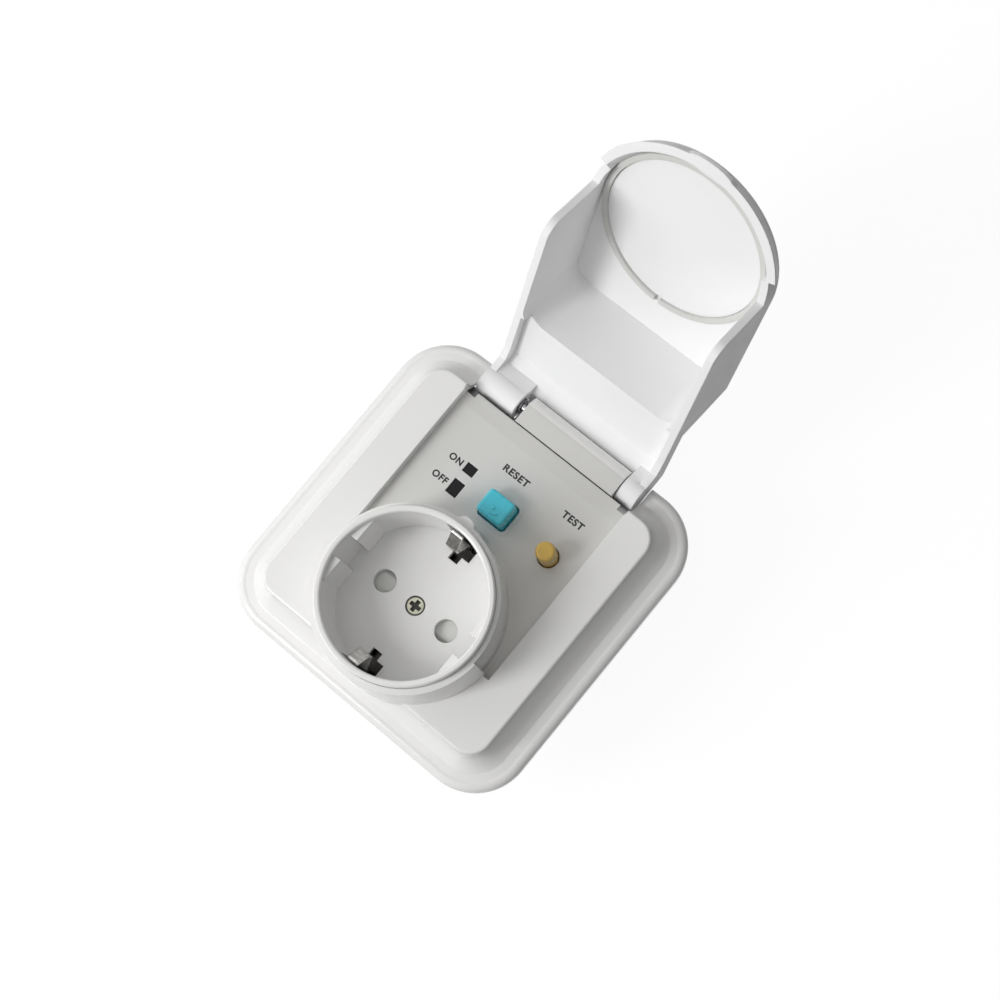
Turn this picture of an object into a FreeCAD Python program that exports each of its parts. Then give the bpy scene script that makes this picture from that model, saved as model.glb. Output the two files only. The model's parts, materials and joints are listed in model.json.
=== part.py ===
import FreeCAD, Part
import Sketcher
import math
import os

# Residual current device socket, 86 mm plate, flush type, with a hinged lid.
# X runs along the hinge, Y up the plate towards the hinge, Z out of the wall.
# The origin is the centre of the plate on the wall plane. Sizes are in mm.

V = FreeCAD.Vector
X_AXIS = V(1, 0, 0)
Y_AXIS = V(0, 1, 0)
Z_AXIS = V(0, 0, 1)

SIZES = {
    # Plate, platform and panel of the front cover
    "plate_side": 86.0,
    "plate_corner": 14.2,
    "edge_height": 1.5,
    "foot_inset": 4.4,
    "foot_height": 3.6,
    "platform_inset": 8.6,
    "platform_height": 11.0,
    "platform_edge_radius": 0.6,
    "cover_wall": 2.0,
    "panel_step": 2.8,
    "recess_side_gap": 0.4,
    "recess_end_gap": 2.5,
    "cover_seat": 1.2,
    "post_inset": 13.5,
    "post_radius": 2.2,
    # Socket cup and the collar round it
    "cup_drop": 14.8,
    "cup_rim_height": 28.5,
    "cup_floor_height": 11.0,
    "cup_floor_thickness": 2.0,
    "cup_mouth_radius": 19.3,
    "cup_draft": 0.2,
    "cup_lip": 1.6,
    "cup_edge": 0.5,
    "cup_fit": 0.05,
    "chamber_wall": 2.9,
    "collar_wall": 1.05,
    "collar_height": 26.0,
    "shoulder_step": 0.5,
    "sleeve_flare": 1.4,
    "collar_foot": 1.0,
    "collar_foot_height": 0.5,
    "boss_radius": 2.6,
    "boss_inset": 1.4,
    "pin_spacing": 19.0,
    "pin_hole_radius": 2.8,
    "guide_depth": 2.3,
    "guide_groove": 5.8,
    "guide_span": 20.0,
    "guide_top_gap": 2.0,
    "clip_slot_width": 6.8,
    "clip_slot_depth": 3.6,
    "clip_slot_wall": 0.6,
    "clip_stem_width": 2.7,
    "clip_stem_reach": 2.0,
    "hub_radius": 3.2,
    # Hinge
    "hinge_y": 39.0,
    "hinge_height": 4.1,
    "barrel_radius": 3.8,
    "pin_radius": 1.0,
    "pin_fit": 0.05,
    "left_knuckle_end": -12.9,
    "bracket_start": -10.8,
    "bracket_end": 19.0,
    "side_gap": 0.3,
    "notch_gap": 4.5,
    "web_reach": 1.8,
    "web_height": 1.9,
    "tongue_length": 8.0,
    "tongue_thickness": 1.8,
    # Lid, in its own frame: s runs from the hinge to the free end, t outwards
    "lid_open_angle": 117.0,
    "lid_wall": 1.9,
    "lid_low_floor": 7.6,
    "lid_low_roof": 9.2,
    "lid_high_floor": 25.7,
    "lid_high_roof": 27.6,
    "lid_side_edge": 4.9,
    "lid_side_end": 54.0,
    "lid_side_lean": 1.5,
    "lid_skirt_edge": 22.4,
    "riser_foot": 19.6,
    "riser_head": 21.5,
    "riser_corner": 5.5,
    "lid_bend": 5.5,
    "lip_width": 13.4,
    "lip_reach": 1.2,
    "flare_reach": 1.6,
    "flare_edge": 1.0,
    "flare_height": 4.2,
    "flare_sweep": 140.0,
    "roof_edge_radius": 0.8,
    "seal_overlap": 0.2,
    "seal_width": 1.4,
    "seal_side_gap": 0.3,
    "seal_height": 1.1,
    "seal_seat": 0.4,
    "seal_split": 1.2,
    # Buttons, windows and flag
    "reset_x": 0.35,
    "reset_y": 15.12,
    "reset_width": 7.5,
    "reset_depth": 6.4,
    "reset_gap": 0.4,
    "reset_corner": 1.0,
    "reset_height": 6.0,
    "reset_travel": 2.0,
    "test_x": 16.65,
    "test_y": 14.05,
    "test_radius": 2.4,
    "test_height": 8.5,
    "test_travel": 1.5,
    "button_gap": 0.3,
    "flange_margin": 0.8,
    "flange_thickness": 0.8,
    "window_x": -11.45,
    "window_width": 3.1,
    "on_window_y": 18.65,
    "on_window_depth": 2.6,
    "off_window_y": 13.0,
    "off_window_depth": 4.0,
    "lens_rim": 0.5,
    "flag_width": 6.0,
    "flag_thickness": 0.9,
    "flag_travel": 2.6,
    # Frame, deck and housing
    "frame_gap": 0.6,
    "frame_corner": 6.0,
    "frame_thickness": 1.2,
    "slot_spacing": 60.3,
    "slot_length": 7.0,
    "slot_width": 4.2,
    "deck_thickness": 1.4,
    "deck_margin": 1.0,
    "deck_low": -35.8,
    "deck_high": 31.5,
    "housing_side": 50.0,
    "housing_depth": 30.0,
    "housing_wall": 1.8,
    "housing_floor": 2.0,
    "housing_corner": 3.0,
    "ear_x": 22.5,
    "ear_y": 28.5,
    "ear_thickness": 3.5,
    "screw_radius": 1.2,
    "screw_head_radius": 2.3,
    "screw_head_height": 1.4,
    "screw_length": 8.0,
    "screw_fit": 0.1,
    "cross_half_length": 1.5,
    "cross_half_width": 0.52,
    "cross_depth": 1.0,
    "centre_head_height": 1.4,
    # Shutter and earth strap
    "shutter_thickness": 2.0,
    "shutter_reach": 13.2,
    "shutter_width": 8.5,
    "strap_thickness": 1.0,
    "strap_width": 5.5,
    "strap_height": 5.0,
    "clip_inset": 0.3,
    "clip_width": 3.2,
    "clip_thickness": 0.7,
    "clip_bulge": 2.9,
    "clip_top": 25.2,
    "tail_width": 4.0,
    "tail_drop": 6.6,
    # Contacts and switch
    "sleeve_radius": 3.3,
    "sleeve_bore": 2.35,
    "sleeve_top": 2.4,
    "sleeve_foot": -8.4,
    "strip_thickness": 0.8,
    "strip_width": 3.2,
    "near_contact_y": 10.0,
    "far_contact_y": 19.0,
    "rivet_radius": 1.5,
    "rivet_height": 1.0,
    "contact_gap": 2.3,
    "bridge_thickness": 0.6,
    "button_contact_height": 0.5,
    "carrier_y": 14.5,
    "carrier_depth": 3.4,
    "carrier_length": 26.0,
    "carrier_height": 3.0,
    "stem_side": 4.0,
    # Circuit board
    "board_top": -12.0,
    "board_thickness": 1.6,
    "board_low": -4.0,
    "board_high": 22.6,
    "board_gap": 0.6,
    "resistor_x": -17.5,
    "resistor_y": 4.5,
    "resistor_length": 7.0,
    "resistor_radius": 1.2,
    "lead_radius": 0.3,
    "lead_span": 11.0,
    "chip_x": -17.5,
    "chip_y": 17.0,
    "chip_width": 6.0,
    "chip_length": 8.0,
    "chip_height": 1.6,
    "drum_x": 18.5,
    "drum_y": -0.5,
    "drum_radius": 2.4,
    "drum_height": 5.0,
    "disc_x": 3.5,
    "disc_y": 0.8,
    "disc_thickness": 1.6,
    # Current transformer and trip
    "core_x": -6.0,
    "core_y": 4.0,
    "core_top": -14.4,
    "core_height": 5.2,
    "core_outer_radius": 6.5,
    "core_inner_radius": 3.6,
    "winding_build": 0.5,
    "conductor_radius": 1.0,
    "conductor_spread": 1.4,
    "conductor_run_height": -25.2,
    "trip_x": 15.0,
    "trip_height": -21.6,
    "yoke_low": 2.0,
    "yoke_high": 13.0,
    "yoke_width": 9.0,
    "yoke_thickness": 1.0,
    "bobbin_radius": 4.8,
    "bobbin_bore": 1.7,
    "bobbin_tube": 2.4,
    "bobbin_flange": 0.8,
    "coil_radius": 4.3,
    "plunger_radius": 1.4,
    "plunger_travel": 2.0,
    "plunger_collar_y": 17.5,
    "neck_radius": 0.8,
    "lever_y": 19.1,
    "lever_thickness": 1.2,
    "lever_width": 2.0,
    "lever_pivot_height": -9.5,
    "lever_pin_radius": 0.7,
    "lever_top": -2.4,
    # Terminals
    "terminal_pitch": 12.0,
    "terminal_width": 8.5,
    "terminal_low": -22.6,
    "terminal_depth": 9.0,
    "terminal_height": 8.0,
    "wire_radius": 1.7,
    "wire_height": 5.6,
    "clamp_screw_radius": 1.5,
    "clamp_head_radius": 2.0,
    # Spring wires
    "hinge_wire": 0.5,
    "hinge_coil_radius": 1.7,
    "hinge_coil_turns": 7.0,
    "hinge_coil_pitch": 1.0,
    "spring_well_radius": 2.25,
    "fine_wire": 0.3,
}

doc = FreeCAD.newDocument("residual_current_socket")
sheet = doc.addObject("Spreadsheet::Sheet", "Sizes")
for row, (alias, number) in enumerate(SIZES.items(), start=1):
    sheet.set(f"A{row}", alias)
    sheet.set(f"B{row}", str(number))
    sheet.setAlias(f"B{row}", alias)
doc.recompute()


class Size:
    """A length as a number and as the sheet expression that gives it."""

    def __init__(self, number, text=None):
        self.number = float(number)
        self.text = text or f"({self.number:.6g})"

    def joined(self, other, sign, number):
        return Size(number, f"({self.text} {sign} {as_size(other).text})")

    def __add__(self, other):
        return self.joined(other, "+", self.number + float(other))

    def __sub__(self, other):
        return self.joined(other, "-", self.number - float(other))

    def __mul__(self, other):
        return self.joined(other, "*", self.number * float(other))

    def __truediv__(self, other):
        return self.joined(other, "/", self.number / float(other))

    def __radd__(self, other):
        return as_size(other) + self

    def __rsub__(self, other):
        return as_size(other) - self

    def __rmul__(self, other):
        return as_size(other) * self

    def __neg__(self):
        return Size(-self.number, f"(-1 * {self.text})")

    def __float__(self):
        return self.number


def as_size(value):
    return value if isinstance(value, Size) else Size(value)


class Sheet:
    """Gives each size of the sheet by its name."""

    def __getattr__(self, alias):
        return Size(sheet.get(alias), f"Sizes.{alias}")


S = Sheet()
PIECES = {}


def numbers(*sizes):
    return [float(one) for one in sizes]


def fresh(name):
    """A name for a helper object that no other object of the document has."""
    taken = {one.Name for one in doc.Objects}
    count = 1
    while f"{name}_{count}" in taken:
        count += 1
    return f"{name}_{count}"


# Bodies made of sketches

def body(name):
    made = doc.addObject("PartDesign::Body", name)
    made.Label = name
    PIECES[name] = made
    return made


def origin_plane(owner, role):
    return next(one for one in owner.Origin.OriginFeatures if one.Role == role)


def new_sketch(owner, plane, offset):
    made = owner.newObject("Sketcher::SketchObject", fresh(owner.Name + "_sketch"))
    made.AttachmentSupport = [(origin_plane(owner, plane), "")]
    made.MapMode = "FlatFace"
    made.setExpression("AttachmentOffset.Base.z", as_size(offset).text)
    return made


def dimension(sk, kind, where, size):
    size = as_size(size)
    index = sk.addConstraint(Sketcher.Constraint(kind, *where, size.number))
    sk.setExpression(f"Constraints[{index}]", size.text)


def pin_point(sk, line, end, x, y):
    dimension(sk, "DistanceX", (-1, 1, line, end), x)
    dimension(sk, "DistanceY", (-1, 1, line, end), y)


def circle(sk, x, y, radius):
    shape = Part.Circle(V(*numbers(x, y), 0), Z_AXIS, float(radius))
    index = sk.addGeometry(shape)
    pin_point(sk, index, 3, x, y)
    dimension(sk, "Radius", (index,), radius)


def polygon(sk, points):
    corners = [V(*numbers(x, y), 0) for x, y in points]
    first = sk.GeometryCount
    for start, end in zip(corners, corners[1:] + corners[:1]):
        sk.addGeometry(Part.LineSegment(start, end))
    for index, (x, y) in enumerate(points):
        before = first + (index - 1) % len(points)
        sk.addConstraint(Sketcher.Constraint("Coincident", before, 2, first + index, 1))
        pin_point(sk, first + index, 1, x, y)


def rectangle(sk, low_x, high_x, low_y, high_y):
    polygon(sk, [(low_x, low_y), (high_x, low_y), (high_x, high_y), (low_x, high_y)])


def rounded_rectangle(sk, low_x, high_x, low_y, high_y, radius):
    """Four sides and four tangent corner arcs of one radius."""
    a, b, c, d, r = numbers(low_x, high_x, low_y, high_y, radius)
    first = sk.GeometryCount
    sides = [((a + r, c), (b - r, c)), ((b, c + r), (b, d - r)),
             ((b - r, d), (a + r, d)), ((a, d - r), (a, c + r))]
    for (x1, y1), (x2, y2) in sides:
        sk.addGeometry(Part.LineSegment(V(x1, y1, 0), V(x2, y2, 0)))
    centres = [(b - r, c + r), (b - r, d - r), (a + r, d - r), (a + r, c + r)]
    for index, (x, y) in enumerate(centres):
        start = -math.pi / 2 + index * math.pi / 2
        ring = Part.Circle(V(x, y, 0), Z_AXIS, r)
        sk.addGeometry(Part.ArcOfCircle(ring, start, start + math.pi / 2))
    for index in range(4):
        arc = first + 4 + index
        following = first + (index + 1) % 4
        sk.addConstraint(Sketcher.Constraint("Tangent", first + index, 2, arc, 1))
        sk.addConstraint(Sketcher.Constraint("Tangent", arc, 2, following, 1))
        if index:
            sk.addConstraint(Sketcher.Constraint("Equal", first + 4, arc))
    for index, kind in enumerate(["Horizontal", "Vertical", "Horizontal", "Vertical"]):
        sk.addConstraint(Sketcher.Constraint(kind, first + index))
    dimension(sk, "Radius", (first + 4,), radius)
    dimension(sk, "DistanceY", (-1, 1, first, 1), low_y)
    dimension(sk, "DistanceX", (-1, 1, first + 1, 1), high_x)
    dimension(sk, "DistanceY", (-1, 1, first + 2, 1), high_y)
    dimension(sk, "DistanceX", (-1, 1, first + 3, 1), low_x)


def stretch(owner, kind, plane, low, high, draw):
    """A pad or pocket from low to high along the axis across the plane."""
    low, high = as_size(low), as_size(high)
    against = plane == "XZ_Plane"
    if kind == "Pad":
        offset = -high if against else low
    else:
        offset = -low if against else high
    sk = new_sketch(owner, plane, offset)
    draw(sk)
    before = owner.Tip.Shape.Volume if owner.Tip else 0.0
    made = owner.newObject(f"PartDesign::{kind}", fresh(f"{owner.Name}_{kind}"))
    made.Profile = sk
    made.setExpression("Length", (high - low).text)
    doc.recompute()
    change = made.Shape.Volume - before
    if (change <= 0) == (kind == "Pad"):
        raise RuntimeError(f"{owner.Label}: {made.Name} changes nothing")
    return made


def add(owner, plane, low, high, draw):
    return stretch(owner, "Pad", plane, low, high, draw)


def cut(owner, plane, low, high, draw):
    return stretch(owner, "Pocket", plane, low, high, draw)


def turn(owner, kind, draw, offset=0.0):
    """A full turn about the vertical through the sketch's origin."""
    sk = new_sketch(owner, "XZ_Plane", offset)
    draw(sk)
    made = owner.newObject(f"PartDesign::{kind}", fresh(f"{owner.Name}_{kind}"))
    made.Profile = sk
    made.ReferenceAxis = (sk, ["V_Axis"])
    made.Angle = 360.0
    doc.recompute()
    return made


def part_turn(owner, kind, draw, along, sweep):
    """A turn about the vertical at Y = along, half of it to each side of the YZ plane."""
    sk = new_sketch(owner, "YZ_Plane", 0)
    sk.setExpression("AttachmentOffset.Base.x", as_size(along).text)
    draw(sk)
    made = owner.newObject(f"PartDesign::{kind}", fresh(f"{owner.Name}_{kind}"))
    made.Profile = sk
    made.ReferenceAxis = (sk, ["V_Axis"])
    made.Midplane = True
    made.setExpression("Angle", as_size(sweep).text)
    doc.recompute()
    return made


def round_edges(owner, radius, chosen):
    base = owner.Tip
    edges = enumerate(base.Shape.Edges, start=1)
    names = [f"Edge{index}" for index, edge in edges if chosen(edge)]
    if not names:
        raise RuntimeError(f"{owner.Label}: no edge to round")
    made = owner.newObject("PartDesign::Fillet", fresh(owner.Name + "_fillet"))
    made.Base = (base, names)
    made.setExpression("Radius", as_size(radius).text)
    doc.recompute()
    return made


def upright(edge):
    box = edge.BoundBox
    return box.ZLength > 0.5 and box.XLength < 0.01 and box.YLength < 0.01


def lies_at(edge, height):
    box = edge.BoundBox
    return abs(box.ZMin - float(height)) < 0.01 and box.ZLength < 0.01


# Pieces made of plain blocks and rods

def block(x, y, z):
    made = doc.addObject("Part::Box", fresh("block"))
    for (low, high), side, place in zip((x, y, z), ("Length", "Width", "Height"), "xyz"):
        made.setExpression(side, (as_size(high) - low).text)
        made.setExpression(f"Placement.Base.{place}", as_size(low).text)
    return made


def rod(axis, centre, radius, low, high):
    """A cylinder along X, Y or Z, with its centre given in the other two."""
    made = doc.addObject("Part::Cylinder", fresh("rod"))
    places = list(centre)
    places.insert("XYZ".index(axis), low)
    turns = {"X": (Y_AXIS, 90), "Y": (X_AXIS, -90), "Z": (Z_AXIS, 0)}
    made.Placement = FreeCAD.Placement(V(), FreeCAD.Rotation(*turns[axis]))
    made.setExpression("Radius", as_size(radius).text)
    made.setExpression("Height", (as_size(high) - low).text)
    for place, value in zip("xyz", places):
        made.setExpression(f"Placement.Base.{place}", as_size(value).text)
    return made


def joined(parts):
    if len(parts) == 1:
        return parts[0]
    made = doc.addObject("Part::MultiFuse", fresh("joined"))
    made.Shapes = parts
    made.Refine = True
    return made


def piece(name, parts, holes=()):
    """A named piece: the parts joined, less the holes."""
    made = joined(parts)
    if holes:
        base = made
        made = doc.addObject("Part::Cut", fresh("holed"))
        made.Base = base
        made.Tool = joined(list(holes))
        made.Refine = True
    made.Label = name
    PIECES[name] = made
    return made


def feature(name, shape):
    made = doc.addObject("Part::Feature", name)
    made.Shape = shape
    made.Label = name
    PIECES[name] = made
    return made


# Springs: one round wire along a helix of tangent arcs

def tangent_arc(start, direction, end):
    chord = end - start
    across = chord - direction * chord.dot(direction)
    if across.Length < 1e-6:
        return Part.LineSegment(start, end).toShape()
    across.normalize()
    sine = chord.dot(across) / chord.Length
    radius = chord.Length / (2 * sine)
    centre = start + across * radius
    middle = (start + end) / 2 - centre
    middle.normalize()
    return Part.Arc(start, centre + middle * radius, end).toShape()


def two_arcs(start, leaving, end, arriving):
    """Two arcs that leave one point and reach the next along given directions."""
    chord = end - start
    both = leaving + arriving
    a = both.dot(both) - 4
    b = -2 * chord.dot(both)
    c = chord.dot(chord)
    reach = (-b - math.sqrt(b * b - 4 * a * c)) / (2 * a)
    meet = (start + leaving * reach + end - arriving * reach) / 2
    ahead = end - arriving * reach - start - leaving * reach
    ahead.normalize()
    return [tangent_arc(start, leaving, meet), tangent_arc(meet, ahead, end)]


def helix_point(radius, pitch, angle):
    spot = V(radius * math.cos(angle), radius * math.sin(angle), pitch * angle / (2 * math.pi))
    way = V(-radius * math.sin(angle), radius * math.cos(angle), pitch / (2 * math.pi))
    way.normalize()
    return spot, way


def spring(radius, wire, turns, height, leg=0.0):
    """A coil on the Z axis from z 0, with an optional straight leg at its end."""
    pitch = (height - wire) / turns
    quarters = int(round(turns * 4))
    angles = [index * math.pi / 2 for index in range(quarters + 1)]
    places = [helix_point(radius, pitch, angle) for angle in angles]
    lift = V(0, 0, wire / 2)
    edges = []
    for (start, leaving), (end, arriving) in zip(places, places[1:]):
        edges += two_arcs(start + lift, leaving, end + lift, arriving)
    if leg:
        spot, way = places[-1]
        edges.append(Part.LineSegment(spot + lift, spot + lift + way * leg).toShape())
    spot, way = places[0]
    section = Part.Wire([Part.Circle(spot + lift, way, wire / 2).toShape()])
    print(f"spring: {turns} turns, gap between turns {pitch - wire:.2f} mm")
    return Part.Wire(edges).makePipeShell([section], True, False)


# Shared places

half_plate = S.plate_side / 2
cup_y = -S.cup_drop
panel_top = S.platform_height - S.panel_step
panel_underside = panel_top - S.cover_wall
recess_low = cup_y - S.recess_end_gap
platform_half = half_plate - S.platform_inset
notch_low = S.hinge_y - S.notch_gap
deck_top = S.frame_thickness + S.deck_thickness
floor_underside = S.cup_floor_height - S.cup_floor_thickness
flange_top = panel_underside - S.button_gap
lens_rim_low = panel_underside - S.lens_rim
board_underside = S.board_top - S.board_thickness
housing_back = -S.housing_depth
housing_inside = housing_back + S.housing_floor
housing_half = S.housing_side / 2
inner_half = housing_half - S.housing_wall
board_half = inner_half - S.board_gap
frame_half = half_plate - S.foot_inset - S.cover_wall - S.frame_gap
deck_half = housing_half + S.deck_margin
cup_outer = S.cup_mouth_radius + S.cup_lip
cup_floor_radius = S.cup_mouth_radius - S.cup_draft
chamber_radius = cup_outer - S.chamber_wall
collar_radius = cup_outer + S.cup_fit + S.collar_wall
guide_reach = S.cup_mouth_radius - S.guide_depth
clip_slot_inner = S.cup_mouth_radius - S.clip_slot_depth
clip_slot_outer = cup_outer - S.clip_slot_wall
clip_radius = cup_floor_radius + S.cup_draft - S.clip_inset
seal_inner = cup_outer - S.seal_overlap
seal_outer = seal_inner + S.seal_width
lid_inner = seal_outer + S.seal_side_gap
lid_half = lid_inner + S.lid_wall
recess_half = lid_half + S.recess_side_gap
lid_round = S.hinge_y + S.cup_drop
pin_x = S.pin_spacing / 2


# Front cover

def rim_profile():
    """The plate's edge, flange and platform wall, as a face in X and Z."""
    edge, foot, top, wall = numbers(half_plate, half_plate - S.foot_inset,
                                    platform_half, S.cover_wall)
    low, rise, high, small = numbers(S.edge_height, S.foot_height,
                                     S.platform_height, S.platform_edge_radius)
    slope = foot + (edge - foot) * 0.45
    corners = {
        "outside": V(edge, 0, 0), "edge": V(edge, 0, low),
        "shoulder": V(slope, 0, rise - 0.25), "foot": V(foot, 0, rise),
        "brow": V(top, 0, high - small), "top": V(top - small, 0, high),
        "inside": V(top - wall - small, 0, high),
        "under": V(top - wall - small, 0, high - wall),
        "bend": V(foot - wall, 0, rise), "back": V(foot - wall, 0, 0),
    }
    round_edge = V(edge - (edge - slope) * 0.22, 0, low + (rise - low) * 0.62)
    hollow = V(top + (foot - top) * 0.30, 0, rise + (high - rise) * 0.36)
    turned = V(top - small * 0.3, 0, high - small * 0.3)
    runs = [
        Part.LineSegment(corners["outside"], corners["edge"]),
        Part.Arc(corners["edge"], round_edge, corners["shoulder"]),
        Part.LineSegment(corners["shoulder"], corners["foot"]),
        Part.Arc(corners["foot"], hollow, corners["brow"]),
        Part.Arc(corners["brow"], turned, corners["top"]),
        Part.LineSegment(corners["top"], corners["inside"]),
        Part.LineSegment(corners["inside"], corners["under"]),
        Part.LineSegment(corners["under"], corners["bend"]),
        Part.LineSegment(corners["bend"], corners["back"]),
        Part.LineSegment(corners["back"], corners["outside"]),
    ]
    return Part.Face(Part.Wire([one.toShape() for one in runs]))


def rim_ring():
    """The rim profile carried once round the rounded square."""
    profile = rim_profile()
    straight = float(half_plate - S.plate_corner)
    side = profile.copy()
    side.translate(V(0, -straight, 0))
    side = side.extrude(V(0, 2 * straight, 0))
    corner = profile.copy()
    corner.translate(V(0, straight, 0))
    corner = corner.revolve(V(straight, straight, 0), Z_AXIS, 90)
    solids = []
    for quarter in range(4):
        for part in (side, corner):
            turned = part.copy()
            turned.rotate(V(), Z_AXIS, quarter * 90)
            solids.append(turned)
    return solids[0].fuse(solids[1:]).removeSplitter()


def lower_sleeve():
    """The thicker sleeve round the lower half of the collar, with its shoulder."""
    foot, top, radius, shoulder = numbers(panel_underside, S.collar_height,
                                          collar_radius + S.sleeve_flare,
                                          collar_radius + S.shoulder_step)
    cone = Part.makeCone(radius, shoulder, top - foot, V(0, float(cup_y), foot))
    low = float(S.foot_height) - 0.2
    skirt = Part.makeCylinder(radius, foot - low, V(0, float(cup_y), low))
    cone = cone.fuse(skirt)
    reach = 2 * radius
    half = Part.makeBox(2 * reach, reach, reach,
                        V(-reach, float(recess_low) + 0.8 - reach, foot))
    front = Part.makeBox(2 * reach, reach, reach,
                         V(-reach, -float(platform_half) - reach, low))
    low, high, rise = numbers(collar_radius + S.collar_foot, collar_radius,
                              S.collar_foot_height)
    ledge = Part.makeCone(low, high, rise, V(0, float(cup_y), float(panel_top)))
    root = Part.makeCylinder(low, 0.5, V(0, float(cup_y), float(panel_top) - 0.5))
    return cone.common(half.fuse(front)).fuse([ledge, root])


def make_front_cover():
    base = doc.addObject("Part::Feature", "cover_shell")
    base.Shape = rim_ring()
    cover = body("front_cover")
    cover.BaseFeature = base
    doc.recompute()
    inner = platform_half - S.cover_wall
    corner = S.plate_corner - S.platform_inset - S.cover_wall
    add(cover, "XY_Plane", S.platform_height - S.cover_wall, S.platform_height,
        lambda sk: rounded_rectangle(sk, -inner, inner, -inner, inner, corner))
    tub = recess_half + S.cover_wall
    add(cover, "XY_Plane", panel_underside, S.platform_height - S.cover_wall,
        lambda sk: rectangle(sk, -tub, tub, recess_low - S.cover_wall,
                             platform_half - S.cover_wall / 2))
    cut(cover, "XY_Plane", panel_top, S.platform_height + 1,
        lambda sk: rectangle(sk, -recess_half, recess_half, recess_low, half_plate + 2))
    add(cover, "XY_Plane", panel_underside, S.collar_height,
        lambda sk: circle(sk, 0, cup_y, collar_radius))
    add(cover, "XY_Plane", panel_underside, S.collar_height,
        lambda sk: circle(sk, 0, cup_y + collar_radius - S.boss_inset, S.boss_radius))
    drop_start = platform_half - 4.1
    drop = 0.7
    cut(cover, "YZ_Plane", -recess_half, recess_half,
        lambda sk: polygon(sk, [(drop_start, panel_top), (notch_low + 1, panel_top - drop),
                                (notch_low + 1, panel_top + 1),
                                (drop_start, panel_top + 1)]))
    notch_half = recess_half + 0.2
    cut(cover, "XY_Plane", -1, S.platform_height + 1,
        lambda sk: rectangle(sk, -notch_half, notch_half, notch_low, half_plate + 2))
    # The lid's side plates swing into a relief at each end of the panel
    for side in (-1, 1):
        near, far = side * (lid_inner - S.side_gap), side * notch_half
        cut(cover, "XY_Plane", S.foot_height + 0.4, S.platform_height + 1,
            lambda sk: rectangle(sk, near, far, notch_low - 1.4, notch_low + 1))
    halo = 1.0
    reset_left = S.reset_x - S.reset_width / 2 - S.reset_gap
    reset_right = S.reset_x + S.reset_width / 2 + S.reset_gap
    reset_low = S.reset_y - S.reset_depth / 2 - S.reset_gap
    reset_high = S.reset_y + S.reset_depth / 2 + S.reset_gap
    add(cover, "XY_Plane", panel_top, panel_top + 0.08,
        lambda sk: rounded_rectangle(sk, reset_left - halo, reset_right + halo,
                                     reset_low - halo, reset_high + halo,
                                     S.reset_corner + halo))
    cut(cover, "XY_Plane", panel_underside - 1, panel_top + 1,
        lambda sk: rounded_rectangle(sk, reset_left, reset_right, reset_low, reset_high,
                                     S.reset_corner))
    cut(cover, "XY_Plane", panel_underside - 1, panel_top + 1,
        lambda sk: circle(sk, S.test_x, S.test_y, S.test_radius + S.button_gap))
    for middle, depth in windows():
        cut(cover, "XY_Plane", panel_underside - 1, panel_top + 1,
            lambda sk: rectangle(sk, S.window_x - S.window_width / 2,
                                 S.window_x + S.window_width / 2,
                                 middle - depth / 2, middle + depth / 2))
    post = half_plate - S.post_inset
    add(cover, "XY_Plane", S.cover_seat, S.platform_height - S.cover_wall / 2,
        lambda sk: four_circles(sk, post, post, S.post_radius))
    sleeve = doc.addObject("Part::Feature", "cover_sleeve")
    sleeve.Shape = lower_sleeve()
    whole = doc.addObject("Part::MultiFuse", "cover_whole")
    whole.Shapes = [cover, sleeve]
    bore = rod("Z", (0, cup_y), cup_outer + S.cup_fit, 0, S.cup_rim_height + 5)
    cover.Label = "front_cover_body"
    piece("front_cover", [whole], [bore])


def windows():
    return [(S.on_window_y, S.on_window_depth), (S.off_window_y, S.off_window_depth)]


def four_circles(sk, x, y, radius):
    for side in (-1, 1):
        for end in (-1, 1):
            circle(sk, side * x, end * y, radius)


def make_lenses():
    parts = []
    left = S.window_x - S.window_width / 2
    right = S.window_x + S.window_width / 2
    for middle, depth in windows():
        low, high = middle - depth / 2, middle + depth / 2
        fit = S.pin_fit
        parts.append(block((left + fit, right - fit), (low + fit, high - fit),
                           (panel_underside, panel_top - S.button_gap)))
        parts.append(block((left - S.lens_rim, right + S.lens_rim),
                           (low - S.lens_rim, high + S.lens_rim),
                           (lens_rim_low, panel_underside)))
    piece("indicator_lenses", parts)


# Socket cup

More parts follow.
